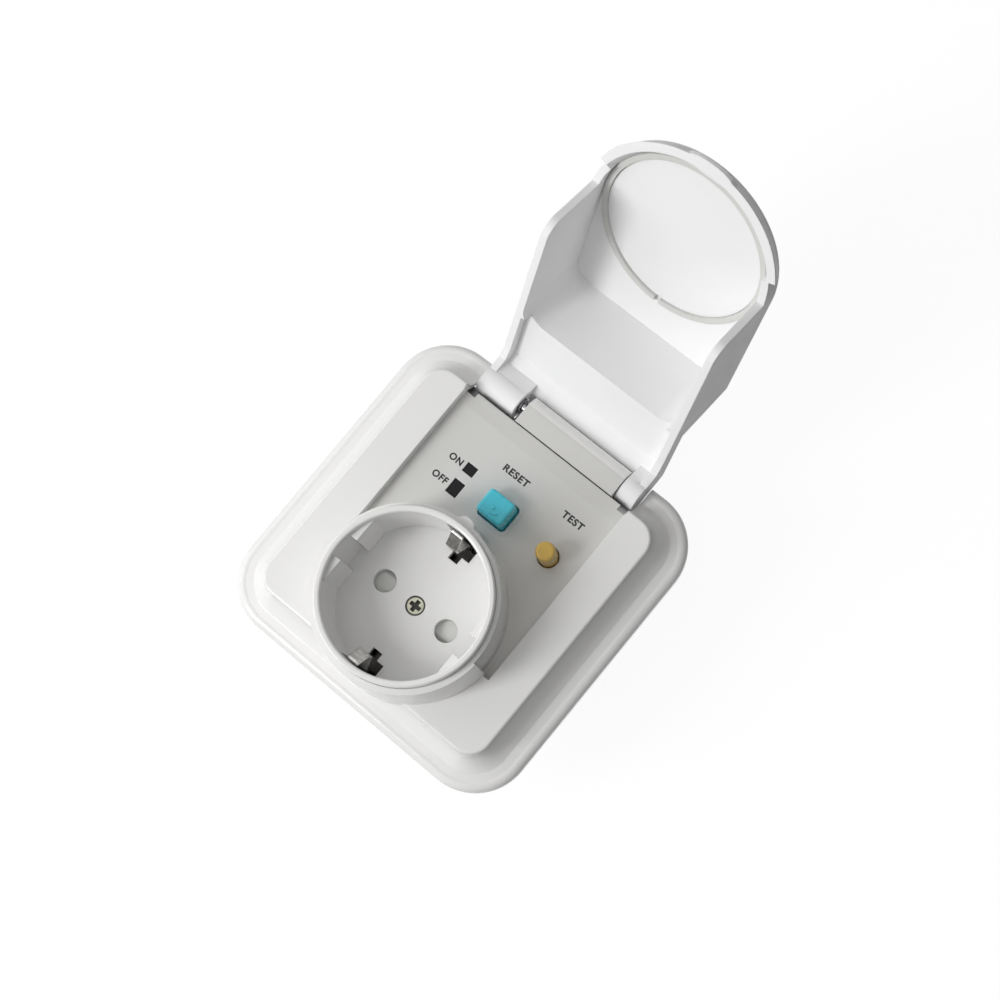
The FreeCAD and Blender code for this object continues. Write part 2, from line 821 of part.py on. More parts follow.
def make_socket_cup():
    cup = body("socket_cup")
    rim, floor, low = S.cup_rim_height, S.cup_floor_height, deck_top
    edge = S.cup_edge
    turn(cup, "Revolution", lambda sk: polygon(sk, [
        (0, floor_underside), (chamber_radius, floor_underside), (chamber_radius, low),
        (cup_outer, low), (cup_outer, rim - edge * 0.6), (cup_outer - edge * 0.6, rim),
        (S.cup_mouth_radius + edge, rim), (S.cup_mouth_radius + edge * 0.3, rim - edge * 0.3),
        (S.cup_mouth_radius, rim - edge), (cup_floor_radius, floor), (0, floor)]),
        offset=-cup_y)
    half_groove = S.guide_groove / 2
    half_span = S.guide_span / 2
    for side in (-1, 1):
        for low_y, high_y in ((-half_span, -half_groove), (half_groove, half_span)):
            inner, outer = side * guide_reach, side * cup_outer
            add(cup, "XY_Plane", floor - 0.5, rim - S.guide_top_gap,
                lambda sk: rectangle(sk, inner, outer, cup_y + low_y, cup_y + high_y))
    cut(cup, "XY_Plane", floor - 1, rim - S.guide_top_gap + 1, lambda sk: (
        circle(sk, 0, cup_y, cup_outer),
        circle(sk, 0, cup_y, cup_outer * 1.5)))
    slot, stem = S.clip_slot_width / 2, S.clip_stem_width / 2
    for end in (-1, 1):
        near, far = cup_y + end * clip_slot_inner, cup_y + end * clip_slot_outer
        tip = cup_y + end * (clip_slot_inner - S.clip_stem_reach)
        cut(cup, "XY_Plane", low - 1, S.clip_top + 0.8,
            lambda sk: rectangle(sk, -slot, slot, near, far))
        cut(cup, "XY_Plane", floor_underside - 1, floor + 1,
            lambda sk: rectangle(sk, -stem, stem, tip, near + end * 0.1))
    cut(cup, "XY_Plane", floor_underside - 1, floor + 1, lambda sk: (
        circle(sk, -pin_x, cup_y, S.pin_hole_radius),
        circle(sk, pin_x, cup_y, S.pin_hole_radius)))
    add(cup, "XY_Plane", S.strap_height + S.strap_thickness, floor_underside + 0.5,
        lambda sk: circle(sk, 0, cup_y, S.hub_radius))
    rib_low = S.shutter_reach - 1.6
    add(cup, "XY_Plane", S.strap_height + 1.6, floor_underside + 0.5,
        lambda sk: rectangle(sk, pin_x - 0.5, pin_x + 2.5, cup_y + rib_low,
                             cup_y + rib_low + 1))
    cut(cup, "XY_Plane", S.strap_height - 1, floor + 1,
        lambda sk: circle(sk, 0, cup_y, S.screw_radius + S.screw_fit))
    cut(cup, "XY_Plane", floor - S.centre_head_height, floor + 1,
        lambda sk: circle(sk, 0, cup_y, S.screw_head_radius + S.screw_fit))


# Hinge

def hinge_frame():
    return V(0, *numbers(S.hinge_y, S.hinge_height))


def make_hinge_bracket():
    bracket = body("hinge_bracket")
    start, end = S.bracket_start, S.bracket_end
    near = notch_low + S.side_gap
    top = S.hinge_height + S.barrel_radius
    add(bracket, "YZ_Plane", start, end,
        lambda sk: circle(sk, S.hinge_y, S.hinge_height, S.barrel_radius))
    add(bracket, "YZ_Plane", start, end,
        lambda sk: rectangle(sk, near, S.hinge_y, S.hinge_height - S.barrel_radius, top))
    add(bracket, "XY_Plane", S.frame_thickness, S.frame_thickness + S.tongue_thickness,
        lambda sk: rectangle(sk, start, end, near - S.tongue_length, near + 1))
    # A low web under the spring's end, beside the left knuckle
    add(bracket, "XY_Plane", S.hinge_height - S.barrel_radius, S.web_height,
        lambda sk: rectangle(sk, start - S.web_reach, start + 1, near, S.hinge_y))
    cut(bracket, "YZ_Plane", start - 1, end + 1,
        lambda sk: circle(sk, S.hinge_y, S.hinge_height, S.pin_radius + 0.02))
    cut(bracket, "XY_Plane", 0, S.frame_thickness + S.tongue_thickness + 1,
        lambda sk: [circle(sk, x, y, 1.0) for x, y in bracket_screw_places()])
    under = frame_half + S.side_gap
    side = start - S.web_reach - 1
    cut(bracket, "XY_Plane", -1, S.frame_thickness,
        lambda sk: rectangle(sk, side, end + 1, near - 1, under))


def bracket_screw_places():
    middle = notch_low + S.side_gap - S.tongue_length / 2
    return [(S.bracket_start + 6, middle), (S.bracket_end - 6, middle)]


def make_bracket_screws():
    top = S.frame_thickness + S.tongue_thickness
    parts = []
    for x, y in bracket_screw_places():
        parts.append(rod("Z", (x, y), 0.9, -2, top))
        parts.append(rod("Z", (x, y), 1.8, top, top + 1.1))
    piece("bracket_screws", parts)


def make_hinge_pin():
    ends = lid_half - 1.5
    piece("hinge_pin", [rod("X", (S.hinge_y, S.hinge_height), S.pin_radius, -ends, ends)])


def make_hinge_spring():
    radius, wire, turns, pitch = numbers(S.hinge_coil_radius, S.hinge_wire,
                                         S.hinge_coil_turns, S.hinge_coil_pitch)
    leg = float(S.notch_gap - S.side_gap) - 0.2
    coil = spring(radius, wire, turns, turns * pitch + wire, leg=leg)
    made = feature("hinge_spring", coil)
    # The coil's axis turns onto X and its leg points down the plate
    lie = FreeCAD.Rotation(Y_AXIS, 90)
    spin = FreeCAD.Rotation(X_AXIS, 90)
    end = float(S.left_knuckle_end) + 1.3
    start = hinge_frame() + V(end - turns * pitch - wire, 0, 0)
    made.Placement = FreeCAD.Placement(start, spin.multiply(lie))


# Lid

def make_lid():
    """The lid in its own frame: Y is minus s and Z is t, with the hinge on X."""
    lid = body("lid")
    end = lid_round + lid_half
    heel_low, heel_high = S.barrel_radius * 0.97, S.barrel_radius * 0.3
    outline = [(heel_low, heel_high), (-0.3, S.lid_low_roof - 0.3),
               (-1.0, S.lid_low_roof), (-(S.riser_foot - S.lid_wall), S.lid_low_roof),
               (-(S.riser_head - S.lid_wall), S.lid_high_roof),
               (-end, S.lid_high_roof), (-end, S.lid_skirt_edge + 1.4),
               (-(S.lid_side_end + S.lid_side_lean + 1.3), S.lid_skirt_edge),
               (-(S.lid_side_end + S.lid_side_lean), S.lid_skirt_edge),
               (-S.lid_side_end, S.lid_side_edge),
               (-8.9, S.lid_side_edge), (-5.4, S.lid_side_edge - 0.9), (-3.7, 0.7),
               (-1.7, -1.6), (1.7, -1.6), (heel_low, -0.6)]
    add(lid, "YZ_Plane", -lid_half, lid_half, lambda sk: polygon(sk, outline))
    margin = 5.0
    cut(lid, "XY_Plane", -5, S.lid_high_roof + 1, lambda sk: outside_round(sk, end, margin))
    round_edges(lid, 4.0, lambda edge: is_front_corner(edge))
    round_edges(lid, S.roof_edge_radius, lambda edge: is_roof_edge(edge, end))
    add_flare(lid)
    hollow_high(lid)
    # Inside, the flared rim opens like a shallow funnel
    low, top = S.lid_skirt_edge - 0.1, S.lid_high_floor - 0.2
    part_turn(lid, "Groove", lambda sk: polygon(sk, [
        (3 - lid_inner, low), (-lid_inner - S.flare_reach, low),
        (0.05 - lid_inner, top), (3 - lid_inner, top)]), -lid_round, S.flare_sweep)
    hollow_low(lid)
    add_knuckles(lid)
    groove = S.lid_high_floor + S.seal_seat
    cut(lid, "XY_Plane", S.lid_high_floor - 1, groove, lambda sk: (
        circle(sk, 0, -lid_round, seal_inner - 0.05),
        circle(sk, 0, -lid_round, seal_outer + 0.05)))
    add(lid, "XY_Plane", S.lid_skirt_edge + 1.5, S.lid_skirt_edge + 2.7,
        lambda sk: polygon(sk, lip_outline()))
    lid.Placement = FreeCAD.Placement(hinge_frame(), FreeCAD.Rotation(X_AXIS, 0))
    lid.setExpression("Placement.Base.y", S.hinge_y.text)
    lid.setExpression("Placement.Base.z", S.hinge_height.text)
    lid.setExpression("Placement.Rotation.Angle", (-S.lid_open_angle).text)


def add_flare(lid):
    """The rim's flare round the free end; it starts a little beyond the side walls."""
    low, reach, high = S.lid_skirt_edge, S.flare_reach, S.lid_skirt_edge + S.flare_height
    part_turn(lid, "Revolution", lambda sk: polygon(sk, [
        (1 - lid_half, low), (-lid_half - reach, low), (-lid_half - reach, low + S.flare_edge),
        (-lid_half, high), (1 - lid_half, high)]), -lid_round, S.flare_sweep)
    front = -(S.lid_side_end + S.lid_side_lean + 1.3)
    far = -(lid_round + lid_half + reach + 1)
    slope = 1.4 / float(lid_round + lid_half + front)
    cut(lid, "YZ_Plane", -lid_half - 3, lid_half + 3, lambda sk: polygon(sk, [
        (front, low), (far, low + (front - far) * slope), (far, low - 1), (front, low - 1)]))


def lip_outline():
    """The finger lip, a low swell that follows the round end."""
    rim = lid_half + S.flare_reach / 2
    half_turn = math.asin(float(S.lip_width / 2) / float(rim))
    steps = 8
    spots = []
    for step in range(steps + 1):
        share = 2 * step / steps - 1
        spots.append((share * half_turn, rim + S.lip_reach * (1 - share ** 4)))
    root = lid_half - S.lid_wall / 2
    spots += [(half_turn, root), (-half_turn, root)]
    return [(radius * math.sin(angle), -(lid_round + radius * math.cos(angle)))
            for angle, radius in spots]


def outside_round(sk, end, margin):
    """What lies beyond the half circle at the free end."""
    radius = float(lid_half)
    centre = float(-lid_round)
    wide, far = float(lid_half) + margin, float(-end) - margin
    first = sk.GeometryCount
    ring = Part.Circle(V(0, centre, 0), Z_AXIS, radius)
    sk.addGeometry(Part.ArcOfCircle(ring, math.pi, 2 * math.pi))
    spots = [(radius, centre), (wide, centre), (wide, far), (-wide, far),
             (-wide, centre), (-radius, centre)]
    for (x1, y1), (x2, y2) in zip(spots, spots[1:]):
        sk.addGeometry(Part.LineSegment(V(x1, y1, 0), V(x2, y2, 0)))
    sk.addConstraint(Sketcher.Constraint("Coincident", first, 2, first + 1, 1))
    for index in range(1, 5):
        link = (first + index, 2, first + index + 1, 1)
        sk.addConstraint(Sketcher.Constraint("Coincident", *link))
    sk.addConstraint(Sketcher.Constraint("Coincident", first + 5, 2, first, 1))
    pin_point(sk, first, 3, 0, -lid_round)
    pin_point(sk, first + 1, 1, lid_half, -lid_round)
    pin_point(sk, first + 2, 1, lid_half + margin, -lid_round)
    pin_point(sk, first + 3, 1, lid_half + margin, -end - margin)
    pin_point(sk, first + 4, 1, -lid_half - margin, -end - margin)
    pin_point(sk, first + 5, 1, -lid_half - margin, -lid_round)
    dimension(sk, "DistanceY", (-1, 1, first + 5, 2), -lid_round)


def is_front_corner(edge):
    """The side walls' lower corners at their free end."""
    box = edge.BoundBox
    low = abs(box.ZMin - float(S.lid_side_edge)) < 0.01 and box.ZLength < 0.01
    return low and box.YLength < 0.01 and abs(box.YMin + float(S.lid_side_end)) < 0.01


def is_roof_edge(edge, end):
    """The edges round the high roof, but not the one above the riser."""
    box = edge.BoundBox
    if abs(box.ZMin - float(S.lid_high_roof)) > 0.01 or box.ZLength > 0.01:
        return False
    return box.YMin < -float(S.riser_head) - 1


def hollow_outline(sk, riser):
    """Round end, two sides, two rounded corners and the riser's straight foot."""
    radius, centre = float(lid_inner), float(-lid_round)
    corner, foot = float(S.riser_corner), -float(riser)
    first = sk.GeometryCount
    ring = Part.Circle(V(0, centre, 0), Z_AXIS, radius)
    sk.addGeometry(Part.ArcOfCircle(ring, math.pi, 2 * math.pi))
    sk.addGeometry(Part.LineSegment(V(radius, centre, 0), V(radius, foot - corner, 0)))
    ring = Part.Circle(V(radius - corner, foot - corner, 0), Z_AXIS, corner)
    sk.addGeometry(Part.ArcOfCircle(ring, 0, math.pi / 2))
    sk.addGeometry(Part.LineSegment(V(radius - corner, foot, 0), V(corner - radius, foot, 0)))
    ring = Part.Circle(V(corner - radius, foot - corner, 0), Z_AXIS, corner)
    sk.addGeometry(Part.ArcOfCircle(ring, math.pi / 2, math.pi))
    sk.addGeometry(Part.LineSegment(V(-radius, foot - corner, 0), V(-radius, centre, 0)))
    for index in range(6):
        link = (first + index, 2, first + (index + 1) % 6, 1)
        sk.addConstraint(Sketcher.Constraint("Tangent", *link))
    sk.addConstraint(Sketcher.Constraint("Vertical", first + 1))
    sk.addConstraint(Sketcher.Constraint("Horizontal", first + 3))
    sk.addConstraint(Sketcher.Constraint("Equal", first + 2, first + 4))
    pin_point(sk, first, 3, 0, -lid_round)
    dimension(sk, "Radius", (first,), lid_inner)
    dimension(sk, "Radius", (first + 2,), S.riser_corner)
    dimension(sk, "DistanceY", (-1, 1, first + 3, 1), -riser)


def hollow_high(lid):
    """The high part's hollow, whose riser leans with its draft."""
    rise = S.lid_high_floor - S.lid_low_floor
    lean = (S.riser_head - S.riser_foot) / rise
    below = 14.0
    low = new_sketch(lid, "XY_Plane", S.lid_low_floor - below)
    hollow_outline(low, S.riser_foot - lean * below)
    high = new_sketch(lid, "XY_Plane", S.lid_high_floor)
    hollow_outline(high, S.riser_head)
    made = lid.newObject("PartDesign::SubtractiveLoft", fresh("lid_hollow"))
    made.Profile = low
    made.Sections = [high]
    made.Ruled = True
    doc.recompute()


def hollow_low(lid):
    """The low part's hollow, down to the bend near the hinge."""
    low, floor, bend = -6.0, S.lid_low_floor, S.lid_bend
    far = S.riser_foot + 2.0
    cut(lid, "YZ_Plane", -lid_inner, lid_inner, lambda sk: polygon(sk, [
        (-bend, floor), (-far, floor), (-far, low), (low * -1, low),
        (low * -1, -0.5), (-2.0, S.barrel_radius + S.side_gap)]))
    cut(lid, "YZ_Plane", S.left_knuckle_end, S.bracket_end + S.side_gap,
        lambda sk: circle(sk, 0, 0, S.barrel_radius + S.side_gap))


def add_knuckles(lid):
    web = [(S.barrel_radius * 0.97, S.barrel_radius * 0.3), (-0.3, S.lid_low_roof - 0.8),
           (-3.2, S.lid_low_roof - 0.8), (-3.6, 0.5), (0, 0)]
    overlap = S.lid_wall / 2
    spans = [(-lid_half + overlap, S.left_knuckle_end),
             (S.bracket_end + S.side_gap, lid_half - overlap)]
    for start, end in spans:
        add(lid, "YZ_Plane", start, end, lambda sk: polygon(sk, web))
    spans = [(-lid_half, S.left_knuckle_end), (S.bracket_end + S.side_gap, lid_half)]
    for start, end in spans:
        add(lid, "YZ_Plane", start, end, lambda sk: circle(sk, 0, 0, S.barrel_radius))
    pin_end = lid_half - 1.3
    cut(lid, "YZ_Plane", -pin_end, pin_end,
        lambda sk: circle(sk, 0, 0, S.pin_radius + S.pin_fit))
    depth = S.hinge_coil_turns * S.hinge_coil_pitch + 0.5
    cut(lid, "YZ_Plane", S.left_knuckle_end - depth, S.left_knuckle_end + 1,
        lambda sk: circle(sk, 0, 0, S.spring_well_radius))


def make_lid_seal():
    seal = body("lid_seal")
    top = S.lid_high_floor + S.seal_seat
    add(seal, "XY_Plane", top - S.seal_height, top, lambda sk: (
        circle(sk, 0, -lid_round, seal_inner),
        circle(sk, 0, -lid_round, seal_outer)))
    split = S.seal_split / 2
    cut(seal, "XY_Plane", top - S.seal_height - 1, top + 1,
        lambda sk: rectangle(sk, -split, split, -lid_round, -lid_round + lid_half))
    seal.Placement = FreeCAD.Placement(hinge_frame(), FreeCAD.Rotation(X_AXIS, 0))
    seal.setExpression("Placement.Base.y", S.hinge_y.text)
    seal.setExpression("Placement.Base.z", S.hinge_height.text)
    seal.setExpression("Placement.Rotation.Angle", (-S.lid_open_angle).text)


# Buttons

def make_reset_button():
    button = body("reset_button")
    half_x, half_y = S.reset_width / 2, S.reset_depth / 2
    x, y, top = S.reset_x, S.reset_y, panel_top + S.reset_height
    rim = S.reset_gap + S.flange_margin
    low = flange_top - S.flange_thickness
    add(button, "XY_Plane", flange_top - 0.1, top, lambda sk: rounded_rectangle(
        sk, x - half_x, x + half_x, y - half_y, y + half_y, S.reset_corner))
    round_edges(button, 0.8, lambda edge: lies_at(edge, top))
    add(button, "XY_Plane", low, flange_top, lambda sk: rectangle(
        sk, x - half_x - rim, x + half_x + rim, y - half_y - rim, y + half_y + rim))
    half = S.stem_side / 2
    add(button, "XY_Plane", carrier_top() + S.side_gap, low + 0.1,
        lambda sk: rectangle(sk, x - half, x + half, S.carrier_y - half, S.carrier_y + half))
    # A small moulded dot and tick on the face
    add(button, "XY_Plane", top - 0.1, top + 0.18,
        lambda sk: circle(sk, x - 0.1, y - 0.6, 0.32))
    add(button, "XY_Plane", top - 0.1, top + 0.14, lambda sk: polygon(sk, [
        (x - 0.2, y - 2.2), (x + 0.9, y - 2.0), (x + 1.7, y - 1.3), (x + 1.5, y - 1.15),
        (x + 0.8, y - 1.75), (x - 0.2, y - 1.95)]))


def make_test_button():
    button = body("test_button")
    x, y, top = S.test_x, S.test_y, panel_top + S.test_height
    low = flange_top - S.flange_thickness
    add(button, "XY_Plane", flange_top - 0.1, top,
        lambda sk: circle(sk, x, y, S.test_radius))
    round_edges(button, 0.8, lambda edge: lies_at(edge, top))
    add(button, "XY_Plane", low, flange_top,
        lambda sk: circle(sk, x, y, S.test_radius + S.button_gap + S.flange_margin))
    add(button, "XY_Plane", 0.2, low + 0.1, lambda sk: circle(sk, x, y, 1.5))


def make_flag():
    half = S.flag_width / 2
    low = lens_rim_low - S.button_gap - S.flag_thickness
    start = S.off_window_y - S.off_window_depth
    end = S.on_window_y + S.on_window_depth
    top = low + S.flag_thickness
    piece("indicator_flag", [block((S.window_x - half, S.window_x + half), (start, end),
                                   (low, top))])


def flag_rail_top():
    return lens_rim_low - S.button_gap * 2 - S.flag_thickness


# Frame, deck and housing

def make_mounting_frame():
    frame = body("mounting_frame")
    half, thick = frame_half, S.frame_thickness
    add(frame, "XY_Plane", 0, thick,
        lambda sk: rounded_rectangle(sk, -half, half, -half, half, S.frame_corner))
    cut(frame, "XY_Plane", -1, thick + 1,
        lambda sk: rounded_rectangle(sk, -inner_half, inner_half, -inner_half, inner_half, 2.0))
    run = S.slot_length / 2
    end_radius = S.slot_width / 2
    for side in (-1, 1):
        middle = side * S.slot_spacing / 2
        cut(frame, "XY_Plane", -1, thick + 1, lambda sk: rounded_slot(
            sk, middle - run, middle + run, end_radius))
    cut(frame, "XY_Plane", -1, thick + 1,
        lambda sk: four_circles(sk, S.ear_x, S.ear_y, S.screw_radius + S.screw_fit))
    cut(frame, "XY_Plane", -1, thick + 1,
        lambda sk: [circle(sk, x, y, 1.0) for x, y in bracket_screw_places()])


def rounded_slot(sk, low, high, radius):
    """A slot along X whose ends are half circles."""
    first = sk.GeometryCount
    a, b, r = numbers(low + radius, high - radius, radius)
    sk.addGeometry(Part.LineSegment(V(a, -r, 0), V(b, -r, 0)))
    ring = Part.Circle(V(b, 0, 0), Z_AXIS, r)
    sk.addGeometry(Part.ArcOfCircle(ring, -math.pi / 2, math.pi / 2))
    sk.addGeometry(Part.LineSegment(V(b, r, 0), V(a, r, 0)))
    ring = Part.Circle(V(a, 0, 0), Z_AXIS, r)
    sk.addGeometry(Part.ArcOfCircle(ring, math.pi / 2, 3 * math.pi / 2))
    for index in range(4):
        link = (first + index, 2, first + (index + 1) % 4, 1)
        sk.addConstraint(Sketcher.Constraint("Tangent", *link))
    sk.addConstraint(Sketcher.Constraint("Horizontal", first))
    dimension(sk, "Radius", (first + 1,), radius)
    dimension(sk, "DistanceX", (-1, 1, first + 1, 3), high - radius)
    dimension(sk, "DistanceX", (-1, 1, first + 3, 3), low + radius)
    dimension(sk, "DistanceY", (-1, 1, first + 1, 3), 0)


def make_middle_deck():
    deck = body("middle_deck")
    low, high = S.frame_thickness, deck_top
    add(deck, "XY_Plane", low, high,
        lambda sk: rectangle(sk, -deck_half, deck_half, S.deck_low, S.deck_high))
    near = notch_low + S.side_gap - S.tongue_length - S.side_gap
    cut(deck, "XY_Plane", low - 1, high + 1, lambda sk: rectangle(
        sk, S.bracket_start - S.side_gap, S.bracket_end + S.side_gap, near, half_plate))
    add(deck, "XY_Plane", S.sleeve_foot, low + 0.5, lambda sk: (
        circle(sk, -pin_x, cup_y, S.sleeve_radius + 1.5),
        circle(sk, pin_x, cup_y, S.sleeve_radius + 1.5)))
    add(deck, "XY_Plane", -6, S.strap_height, lambda sk: circle(sk, 0, cup_y, 3.5))
    add(deck, "XY_Plane", high - 0.5, flag_rail_top(), lambda sk: rectangle(
        sk, S.window_x - S.flag_width / 2, S.window_x + S.flag_width / 2,
        S.off_window_y - 3, S.on_window_y + 5))
    cut(deck, "XY_Plane", S.sleeve_foot - 1, high + 1, lambda sk: (
        circle(sk, -pin_x, cup_y, S.sleeve_radius + 0.3),
        circle(sk, pin_x, cup_y, S.sleeve_radius + 0.3)))
    cut(deck, "XY_Plane", -7, S.strap_height + 1,
        lambda sk: circle(sk, 0, cup_y, S.screw_radius + 0.05))
    cut(deck, "XY_Plane", low - 1, high + 1,
        lambda sk: four_circles(sk, S.ear_x, S.ear_y, S.screw_radius + S.screw_fit))
    half_stem = S.stem_side / 2 + 0.5
    cut(deck, "XY_Plane", low - 1, high + 1, lambda sk: rectangle(
        sk, S.reset_x - half_stem, S.reset_x + half_stem,
        S.carrier_y - half_stem, S.carrier_y + half_stem))
    cut(deck, "XY_Plane", low - 1, high + 1, lambda sk: circle(sk, S.test_x, S.test_y, 1.9))
    tail = S.tail_width / 2 + 0.4
    middle = cup_y - S.tail_drop
    cut(deck, "XY_Plane", low - 1, high + 1, lambda sk: rectangle(
        sk, -tail, tail, middle - 0.8, middle + 0.8))


def make_frame_screws():
    parts = []
    for side in (-1, 1):
        for end in (-1, 1):
            spot = (side * S.ear_x, end * S.ear_y)
            parts.append(rod("Z", spot, S.screw_radius, deck_top - S.screw_length, deck_top))
            parts.append(rod("Z", spot, S.screw_head_radius, deck_top,
                             deck_top + S.screw_head_height))
    cross = []
    for side in (-1, 1):
        for end in (-1, 1):
            cross += cross_recess(side * S.ear_x, end * S.ear_y,
                                  deck_top + S.screw_head_height)
    piece("frame_screws", parts, cross)


def cross_recess(x, y, top):
    long, short, depth = S.cross_half_length, S.cross_half_width, S.cross_depth
    return [block((x - long, x + long), (y - short, y + short), (top - depth, top + 1)),
            block((x - short, x + short), (y - long, y + long), (top - depth, top + 1))]


def make_centre_screw():
    top = S.cup_floor_height - 0.2
    head = S.screw_head_radius
    parts = [rod("Z", (0, cup_y), S.screw_radius, -5, top - 0.4),
             rod("Z", (0, cup_y), head, S.cup_floor_height - S.centre_head_height, top)]
    piece("centre_screw", parts, cross_recess(Size(0), cup_y, top))


def make_rear_housing():
    housing = body("rear_housing")
    half = housing_half
    add(housing, "XY_Plane", housing_back, 0,
        lambda sk: rounded_rectangle(sk, -half, half, -half, half, S.housing_corner))
    ear = S.screw_head_radius + 0.8
    for side in (-1, 1):
        for end in (-1, 1):
            low_x, high_x = side * S.ear_x - ear, side * S.ear_x + ear
            low_y, high_y = end * (half - 1), end * (S.ear_y + ear)
            add(housing, "XY_Plane", -S.ear_thickness, 0,
                lambda sk: rectangle(sk, low_x, high_x, low_y, high_y))
    cut(housing, "XY_Plane", -S.ear_thickness - 1, 1,
        lambda sk: four_circles(sk, S.ear_x, S.ear_y, S.screw_radius + 0.05))
    cut(housing, "XY_Plane", housing_inside, 1, lambda sk: rounded_rectangle(
        sk, -inner_half, inner_half, -inner_half, inner_half, S.housing_corner - 1.2))
    for side in (-1, 1):
        low_x, high_x = side * (board_half - 1), side * (inner_half + 0.5)
        add(housing, "XY_Plane", housing_inside - 0.5, board_underside,
            lambda sk: rectangle(sk, low_x, high_x, S.board_low, S.board_high - 6))
    middle = terminal_middle()
    for index in (-1, 0, 1):
        x = index * S.terminal_pitch
        cut(housing, "XY_Plane", housing_back - 1, housing_inside + 1,
            lambda sk: circle(sk, x, middle, S.clamp_head_radius + 0.4))
        cut(housing, "XZ_Plane", -half - 1, -inner_half + 1,
            lambda sk: circle(sk, x, wire_line(), S.wire_radius + 0.5))


def terminal_middle():
    return S.terminal_low + S.terminal_depth / 2


def wire_line():
    return housing_inside + S.wire_height


# Earth strap with its two clips

def make_earth_bracket():
    strap = body("earth_bracket")
    half, low = S.strap_width / 2, S.strap_height
    high = low + S.strap_thickness
    reach, thick, clip_half = clip_radius, S.clip_thickness, S.clip_width / 2
    add(strap, "XY_Plane", low, high,
        lambda sk: rectangle(sk, -half, half, cup_y - reach, cup_y + reach))
    bulge, top = S.clip_bulge, S.clip_top
    rise = top - S.cup_floor_height
    knee, crown, brow = top - rise * 0.78, top - rise * 0.42, top - rise * 0.28
    for end in (-1, 1):
        def at(distance, height):
            return (cup_y + end * distance, height)
        outer, inner = reach, reach - thick
        add(strap, "YZ_Plane", -clip_half, clip_half, lambda sk: polygon(sk, [
            at(outer, low), at(outer, knee), at(outer - bulge, crown),
            at(outer - bulge, brow), at(outer, top), at(inner, top),
            at(inner - bulge, brow + 0.2), at(inner - bulge, crown - 0.2),
            at(inner, knee - 0.2), at(inner, low)]))
    cut(strap, "XY_Plane", low - 1, high + 1,
        lambda sk: circle(sk, 0, cup_y, S.screw_radius + 0.3))
    tail, middle = S.tail_width / 2, cup_y - S.tail_drop
    add(strap, "XY_Plane", housing_inside + S.terminal_height, low + 0.5,
        lambda sk: rectangle(sk, -tail, tail, middle - 0.4, middle + 0.4))


def make_shutter():
    shutter = body("shutter")
    low = floor_underside - 0.4 - S.shutter_thickness
    high = low + S.shutter_thickness
    half, reach = S.shutter_width / 2, S.shutter_reach
    add(shutter, "XY_Plane", low, high,
        lambda sk: rectangle(sk, -reach, reach, cup_y - half, cup_y + half))
    round_edges(shutter, 1.5, upright)
    cut(shutter, "XY_Plane", low - 1, high + 1,
        lambda sk: circle(sk, 0, cup_y, S.hub_radius + 0.08))
    # Each lobe is bevelled under its pin hole, so that a pin pushes it round
    for side in (-1, 1):
        near, far = cup_y + side * half, cup_y + side * (half - 2.5)
        start, end = (pin_x - 3, reach + 1) if side < 0 else (-reach - 1, -pin_x + 3)
        cut(shutter, "YZ_Plane", start, end, lambda sk: polygon(sk, [
            (near + side * 0.5, high - 1.4), (near + side * 0.5, high + 0.5),
            (far, high + 0.5), (far, high)]))


def make_shutter_spring():
    height = float(S.shutter_reach - 1.6 - S.shutter_width / 2) - 0.2
    made = feature("shutter_spring", spring(0.8, float(S.fine_wire), 7.0, height))
    start = V(float(pin_x) + 1.0, float(cup_y + S.shutter_width / 2) + 0.1,
              float(floor_underside) - 1.5)
    made.Placement = FreeCAD.Placement(start, FreeCAD.Rotation(X_AXIS, -90))


# Contacts and switch

def sides():
    return (("neutral", -1), ("live", 1))


def rivet_top():
    return S.sleeve_foot + S.rivet_height


def bridge_low():
    return rivet_top() + S.contact_gap + S.button_contact_height


def carrier_low():
    return bridge_low() + S.bridge_thickness


def carrier_top():
    return carrier_low() + S.carrier_height


def make_pin_contacts():
    half = S.strip_width / 2
    for name, side in sides():
        x = side * pin_x
        tube = rod("Z", (x, cup_y), S.sleeve_radius, S.sleeve_foot, S.sleeve_top)
        strip = block((x - half, x + half), (cup_y - half, S.near_contact_y + half),
                      (S.sleeve_foot - S.strip_thickness, S.sleeve_foot))
        bore = rod("Z", (x, cup_y), S.sleeve_bore, S.sleeve_foot, S.sleeve_top + 1)
        slit = block((x - 0.4, x + 0.4), (cup_y - 5, cup_y + 5),
                     (S.sleeve_foot + 2, S.sleeve_top + 1))
        piece(f"{name}_contact", [tube, strip], [bore, slit])


def make_switch():
    half = S.strip_width / 2
    posts, rivets, bridges = [], [], []
    for name, side in sides():
        x = side * pin_x
        posts.append(block((x - half, x + half),
                           (S.far_contact_y - half, S.far_contact_y + half),
                           (S.board_top, S.sleeve_foot)))
        bridges.append(block((x - half, x + half),
                             (S.near_contact_y - half, S.far_contact_y + half),
                             (bridge_low(), carrier_low())))
        for y in (S.near_contact_y, S.far_contact_y):
            rivets.append(rod("Z", (x, y), S.rivet_radius, S.sleeve_foot, rivet_top()))
            bridges.append(rod("Z", (x, y), S.rivet_radius - 0.1,
                               bridge_low() - S.button_contact_height, bridge_low()))
    piece("contact_posts", posts)
    piece("contact_rivets", rivets)
    piece("moving_contacts", bridges)


def make_carrier():
    length, half = S.carrier_length / 2, S.carrier_depth / 2
    low, high = carrier_low(), carrier_top()
    bar = block((-length, length), (S.carrier_y - half, S.carrier_y + half), (low, high))
    catch = block((length - 0.5, S.trip_x + 1), (S.carrier_y + half - 0.6, catch_edge()),
                  (low, low + 1.2))
    piece("contact_carrier", [bar, catch])


def catch_edge():
    return S.lever_y - S.lever_thickness / 2 - 0.5


